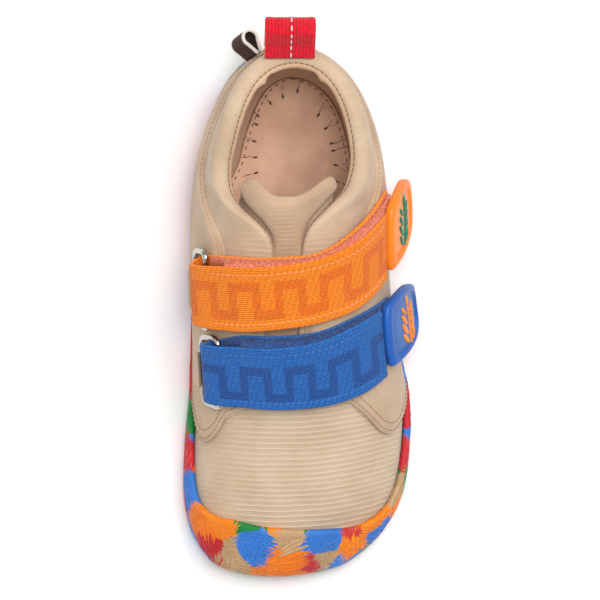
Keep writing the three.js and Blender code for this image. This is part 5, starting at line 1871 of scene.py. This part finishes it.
    def tab_place(self, along: np.ndarray, across: np.ndarray, level: np.ndarray) -> np.ndarray:
        """Points of the tab by shares of its length and of the strap's half width."""
        distance = self.way.end_at + SIZE.fit_gap + along * SIZE.tab_length
        lean = SIZE.tab_lean * np.clip(along, 0, None) ** 1.3
        return self.way.point(distance, level + lean, 0.5 + across / 2)

    def outline(self, count: int = 96) -> np.ndarray:
        """The tab's outline with rounded corners, as shares along and across."""
        rows = np.array(TAB_OUTLINE, float)
        for _ in range(3):
            after = np.roll(rows, -1, axis=0)
            rows = np.stack([mix(rows, after, 0.25), mix(rows, after, 0.75)], axis=1).reshape(-1, 2)
        closed = np.concatenate([rows, rows[:1]])
        lengths = run_lengths(closed * [SIZE.tab_length, self.half_width])
        at = np.linspace(0, lengths[-1], count + 1)
        return np.stack([np.interp(at, lengths, closed[:, k]) for k in (0, 1)], axis=1)

    def build_tab(self) -> None:
        """Makes the rubber tab: a round raised frame, a sunk panel and a plain leaf sprig on it."""
        outline = self.outline()
        bottom, top = SIZE.top_level, SIZE.top_level + SIZE.tab
        shrink = 1 - 2 * SIZE.tab_frame / SIZE.tab_length
        frame = (1 + shrink) / 2
        round_frame = [
            (mix(frame, 1, math.cos(a)), top - 0.9 + 0.9 * math.sin(a)) for a in np.linspace(0, math.pi, 9)
        ]
        rings = [(0.94, bottom), (0.985, bottom + 0.3), (1.0, bottom + 0.8), *round_frame]
        rings += [(shrink - 0.015, top - SIZE.tab_recess)]
        panel = [(s, top - SIZE.tab_recess + 0.25 * (1 - s)) for s in (shrink - 0.05, 0.5, 0.3, 0.12, 0.02)]

        def ring(scale: float, level: float) -> np.ndarray:
            """One ring of the plate at a scale about its middle."""
            along, across = 0.5 + (outline[:, 0] - 0.5) * scale, 0.18 + (outline[:, 1] - 0.18) * scale
            return self.tab_place(along, across, np.full(len(along), level))

        plate = Sheet(np.array([ring(*r) for r in rings]))
        sunk = Sheet(np.array([ring(*r) for r in [rings[-1], *panel]]), material=1)
        node = f"strap_tab_{self.name}"
        Piece(f"tab_{self.name}_rubber", self.words[2], [self.rubber, self.panel], [node]).skin(plate, sunk)
        self.build_sprig(top - SIZE.tab_recess)
        groove = Stitching(f"tab_{self.name}_stitches", self.words[2], self.thread, 1.25, 0.13, 1.9)
        scale = shrink - 0.1
        line = ring(scale, top - SIZE.tab_recess + 0.05)
        above = ring(scale, top + 1)
        groove.run(line, above - line, 0.08)
        groove.finish()

    def build_sprig(self, level: float) -> None:
        """Moulds a plain sprig on the panel: a stem with leaves in pairs."""
        leaves = [(0.5, 0.84, 0.0, 1.7, 0.0)]
        for k, across in enumerate((-0.3, 0.0, 0.3, 0.58)):
            size = (2.1, 2.3, 2.1, 1.7)[k]
            leaves += [(0.5 - 0.115, across, 1, size, 0.8), (0.5 + 0.115, across, -1, size, 0.8)]
        sprig = Stitching(f"tab_{self.name}_sprig", self.words[2], self.relief)
        for along, across, turn, size, lean in leaves:
            self.leaf(sprig, along, across, turn * lean, size, level)
        for across in np.linspace(-0.5, 0.7, 9):
            self.leaf(sprig, 0.5, float(across), 0.0, 1.1, level, 0.42)
        sprig.finish(12, 8)

    def leaf(
        self,
        sprig: Stitching,
        along: float,
        across: float,
        turn: float,
        size: float,
        level: float,
        slim: float = 0.85,
    ) -> None:
        """Adds one domed leaf that lies on the panel."""
        one = np.array([along, across])
        place = self.tab_place(one[0], one[1], np.array(level))
        up = self.tab_place(one[0], one[1], np.array(level + 1.0)) - place
        ahead = self.tab_place(one[0], one[1] + 0.05, np.array(level)) - place
        side = np.cross(unit(up), unit(ahead))
        direction = unit(ahead) * math.cos(turn) + side * math.sin(turn)
        sizes = (size * 1.15, size * slim * 0.5 if slim > 0.5 else slim, 0.55)
        sprig.stitch(place + unit(up) * 0.12, direction, unit(up), sizes)

    def ring_levels(self) -> tuple[float, float, float, float]:
        """Distance and level of the ring's bar in the fold and of its bar under the keeper."""
        inner = self.way.fold_at + SIZE.fold_bulge + SIZE.ring_inset
        inner_level = SIZE.webbing_level + SIZE.webbing + SIZE.fit_gap + SIZE.wire / 2
        return inner, inner_level, inner - SIZE.ring_gap - SIZE.wire, SIZE.webbing_level + SIZE.wire / 2

    def build_ring(self) -> None:
        """Bends the wire ring: a rounded rectangle whose long bars run across the strap."""
        inner, inner_level, outer, outer_level = self.ring_levels()
        width = self.way.width(inner)
        low, high = -self.way.run.ring_toe / width, 1 + self.way.run.ring_heel / width
        bend, side = SIZE.ring_bend / width, SIZE.ring_bend / (SIZE.ring_gap + SIZE.wire)
        corners = (
            (side, high - bend, math.pi),
            (1 - side, high - bend, math.pi / 2),
            (1 - side, low + bend, 0.0),
            (side, low + bend, -math.pi / 2),
        )
        samples: list[tuple[float, float]] = []
        for i, (t, across, start) in enumerate(corners):
            for a in start - np.linspace(0, math.pi / 2, 8):
                samples.append((t + side * math.cos(a), across + bend * math.sin(a)))
            if i in (1, 3):
                end = low + bend if i == 1 else high - bend
                fixed, begin = samples[-1]
                samples += [(fixed, float(x)) for x in np.linspace(begin, end, 20)[1:-1]]
        t, across = np.array(samples).T
        centres = self.way.point(mix(inner, outer, t), mix(inner_level, outer_level, t), across)
        ring = Piece(f"ring_{self.name}_wire", "ring_steel", [WIRE], [f"ring_{self.name}"])
        ring.skin(Sheet(wire_skin(centres, SIZE.wire / 2, 14)))

    def build_keeper(self) -> None:
        """Makes the leather keeper that holds the ring's outer bar."""
        _, _, outer, outer_level = self.ring_levels()
        flat = SIZE.webbing_level + SIZE.keeper / 2
        high = outer_level + SIZE.wire / 2 + SIZE.fit_gap + SIZE.keeper / 2
        half = SIZE.wire / 2 + SIZE.fit_gap + SIZE.keeper / 2
        lower = np.linspace(outer - SIZE.keeper_reach, outer - half, 14, endpoint=False)
        angle = np.linspace(0, math.pi * 0.62, 14)
        distance = np.concatenate([lower, outer - half * np.cos(angle)])
        level = np.concatenate([np.full(14, flat), flat + (high - flat) * np.sin(angle)])
        edge = (1 - SIZE.keeper_share) / 2
        shape = BandShape(SIZE.keeper, self.way.width(outer), 18, 0.5, low=edge, high=1 - edge)
        skin = band(self.way, np.stack([distance, level], axis=1), shape, np.zeros(28))
        node = f"ring_keeper_{self.name}"
        Piece(f"keeper_{self.name}_suede", "suede", [PLAIN_SHADED_SUEDE], [node]).skin(skin)
        rows = Stitching(f"keeper_{self.name}_stitches", "suede", THREAD_BEIGE, 1.0, 0.16, 1.5)
        across = np.linspace(edge + 0.06, 1 - edge - 0.06, 12)
        for at in (outer - 3.4, outer - 5.4):
            points = self.way.point(np.full(12, at), np.full(12, flat + SIZE.keeper / 2), across)
            below = self.way.point(np.full(12, at), np.full(12, flat), across)
            rows.run(points, points - below)
        rows.finish()


def wire_skin(centres: np.ndarray, radius: float, count: int) -> np.ndarray:
    """Points round a closed line, for a wire of a radius in mm."""
    middle = centres.mean(axis=0)
    ahead = unit(np.roll(centres, -1, axis=0) - np.roll(centres, 1, axis=0))
    out = centres - middle
    out = unit(out - ahead * np.sum(out * ahead, axis=1, keepdims=True))
    up = np.cross(ahead, out)
    angle = np.linspace(0, 2 * np.pi, count + 1)
    spokes = np.cos(angle)[None, :, None] * out[:, None] + np.sin(angle)[None, :, None] * up[:, None]
    loops = centres[:, None] + spokes * radius
    return np.concatenate([loops, loops[:1]])


def loop_sheet(
    line: np.ndarray,
    shape: BandShape,
    base: np.ndarray,
    along: np.ndarray,
    out: np.ndarray,
    side: np.ndarray,
) -> Sheet:
    """Sweeps a band's section along a flat line that stands on its edge.

    Args:
        line: Points of the line as lengths along and out.
        shape: The section.
        base: Where the line starts.
        along: Direction of its first column.
        out: Direction of its second column.
        side: Direction across the band.

    Returns:
        The skin, with a map in millimetres.
    """
    a, b, share, cloth = sweep(line, shape)
    across = (share - 0.5) * shape.width
    points = base + a[..., None] * along + b[..., None] * out + across[None, :, None] * side
    return Sheet(points, cloth)


@dataclass
class HeelTrim:
    """The webbing pull loop on the collar and the ribbon loop in the back seam beside it."""

    def build_pull(self) -> None:
        """Makes the red pull loop, which leans backwards, with running stitches down its middle."""
        path = COLUMNS.at(Side.MEDIAL, 1.0)
        crest = LAST.raised(*path.at(path.length - SIZE.collar / 2), SIZE.collar_swell - SIZE.collar / 2)
        lean = math.radians(SIZE.pull_lean)
        along = np.array([0, math.sin(lean), math.cos(lean)])
        out = np.array([0, math.cos(lean), -math.sin(lean)])
        base = crest + along * (SIZE.collar / 2 - SIZE.fit_gap)
        base[0] = SIZE.pull_x
        half = (SIZE.pull_gap + SIZE.pull) / 2
        straight = SIZE.pull_length - half
        up = np.linspace(0, straight, 26, endpoint=False)
        angle = np.linspace(0, math.pi, 22)
        waist = 1 - 0.22 * np.sin(np.pi * np.clip(up / straight, 0, 1)) ** 2
        line = np.concatenate(
            [
                np.stack([up, half * waist], axis=1),
                np.stack([straight + half * np.sin(angle), half * np.cos(angle)], axis=1),
                np.stack([up[::-1], -half * waist[::-1]], axis=1),
            ]
        )
        shape = BandShape(SIZE.pull, SIZE.pull_width, 24, 0.6, selvedge=0.12)
        side = np.array([1.0, 0, 0])
        pull = Piece("heel_pull_webbing", "red_webbing", [RED_WEBBING], ["heel_loop"])
        pull.skin(loop_sheet(line, shape, base, along, out, side))
        rows = Stitching("heel_pull_stitches", "red_webbing", THREAD_WHITE, 1.7, 0.2, 2.5)
        ahead = unit(np.gradient(line, axis=0))
        aside = np.stack([ahead[:, 1], -ahead[:, 0]], axis=1) * (SIZE.pull / 2)
        normals = ahead[:, 1:] * along - ahead[:, :1] * out
        for face in (1, -1):
            sewn = line + face * aside
            rows.run(base + sewn[:, :1] * along + sewn[:, 1:] * out + side * 0.3, face * normals)
        rows.finish()

    def build_ribbon(self) -> None:
        """Makes the small ribbon loop, an upright band bent to a drop shape."""
        path = COLUMNS.at(Side.MEDIAL, SIZE.ribbon_seat)
        turn, phi = path.at(path.length * 0.6)
        start = LAST.raised(turn, phi, SIZE.lap_gap + SIZE.quarter + SIZE.fit_gap)
        out = LAST.normal(turn, phi) * [1, 1, 0]
        out = unit(out)
        side = np.array([-out[1], out[0], 0])
        tilt = math.radians(SIZE.ribbon_tilt)
        rise = np.array([0, 0, 1.0])
        upright = rise * math.cos(tilt) - side * math.sin(tilt)
        side = side * math.cos(tilt) + rise * math.sin(tilt)
        half = (SIZE.ribbon_gap + SIZE.ribbon) / 2
        drop = SIZE.ribbon_length - half
        angle = mix(0.15, 0.85, np.linspace(0, 1, 40)) * 2 * np.pi
        bend = np.stack([drop - half * np.cos(angle) * 1.05, half * np.sin(angle)], axis=1)
        first, last = np.array([[0, SIZE.ribbon * 0.6]]), np.array([[0, -SIZE.ribbon * 0.6]])
        t = np.linspace(0, 1, 9)[:-1, None]
        line = np.concatenate([mix(first, bend[:1], t), bend, mix(last, bend[-1:], t)[::-1]])
        shape = BandShape(SIZE.ribbon, SIZE.ribbon_height, 14, 0.3)
        loop = loop_sheet(line, shape, start, out, side, upright)
        Piece("side_ribbon", "ribbon", [RIBBON], ["side_ribbon_loop"]).skin(loop)


@dataclass
class Studio:
    """A seamless pale floor, soft lights and the camera above the shoe."""

    floor: Finish = PaperFloor()
    height: float = 1.2
    lens: float = 245.0
    camera_x: float = -0.042
    aim: tuple[float, float, float] = (-0.0005, 0.0029, 0.03)

    def build(self) -> None:
        """Lays the floor, hangs the lights and sets the camera."""
        bm = bmesh.new()
        bmesh.ops.create_grid(bm, x_segments=1, y_segments=1, size=3.0)
        sheet = add_mesh("studio_floor", bm)
        sheet.data.materials.append(material_of(self.floor))
        self.light("key_softbox", (0.3, 0.3, 1.1), 0.55, 6.6)
        self.light("top_softbox", (0.01, 0.08, 1.35), 0.35, 7.2)
        self.light("fill_softbox", (-0.7, 0.1, 0.9), 0.9, 1.5)
        world = bpy.data.worlds.new("studio")
        world.use_nodes = True
        world.node_tree.nodes["Background"].inputs[0].default_value = (1, 1, 1, 1)
        world.node_tree.nodes["Background"].inputs[1].default_value = 0.42
        bpy.context.scene.world = world
        bpy.context.scene.view_settings.view_transform = "Standard"
        data = bpy.data.cameras.new("camera")
        data.lens = self.lens
        data.sensor_width = 36.0
        data.clip_end = 20.0
        camera = bpy.data.objects.new("camera", data)
        bpy.context.scene.collection.objects.link(camera)
        place = Vector((self.camera_x, self.aim[1], self.height))
        back = (place - Vector(self.aim)).normalized()
        right = Vector((0, 1, 0)).cross(back).normalized()
        up = back.cross(right)
        turn = Matrix((right, up, back)).transposed().to_4x4()
        camera.matrix_world = Matrix.Translation(place) @ turn
        bpy.context.scene.camera = camera

    def light(self, name: str, place: Sequence[float], size: float, power: float) -> None:
        """Hangs one square softbox that faces the shoe."""
        data = bpy.data.lights.new(name, "AREA")
        data.energy, data.size = power, size
        lamp = bpy.data.objects.new(name, data)
        bpy.context.scene.collection.objects.link(lamp)
        lamp.location = place
        lamp.rotation_euler = Vector(place).to_track_quat("Z", "Y").to_euler()


def strap_sets() -> list[StrapSet]:
    """The orange strap nearer the ankle and the blue one nearer the toe."""
    orange = (ORANGE_WEBBING, SALMON_NAP, ORANGE_RUBBER, ORANGE_PANEL, GREEN_RELIEF, THREAD_SALMON)
    blue = (BLUE_WEBBING, BLUE_NAP, BLUE_RUBBER, BLUE_PANEL, ORANGE_RELIEF, THREAD_BLUE)
    return [
        StrapSet(Strap.UPPER, *orange, ("orange_webbing", "salmon_loop_tape", "orange_tab_rubber")),
        StrapSet(Strap.LOWER, *blue, ("blue_webbing", "blue_loop_tape", "blue_tab_rubber")),
    ]


def corners(box: Iterable[Vector]) -> list[list[float]]:
    """A box's corners as plain lists of numbers."""
    return [[float(x) for x in corner] for corner in box]


def main() -> None:
    """Loads the frame, builds every piece in order and sets the studio."""
    logging.basicConfig(level=logging.INFO, format="%(name)s %(message)s")
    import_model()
    sole = CupSole()
    sole.build()
    sole.build_strokes()
    Upper().build()
    Insole().build()
    Tongue().build()
    quarters = Quarters()
    for side in Side:
        quarters.build(side)
    for strap_set in strap_sets():
        strap_set.build()
    trim = HeelTrim()
    trim.build_pull()
    trim.build_ribbon()
    Studio().build()
    LOG.info("all pieces are built")


if __name__ == "__main__":
    main()
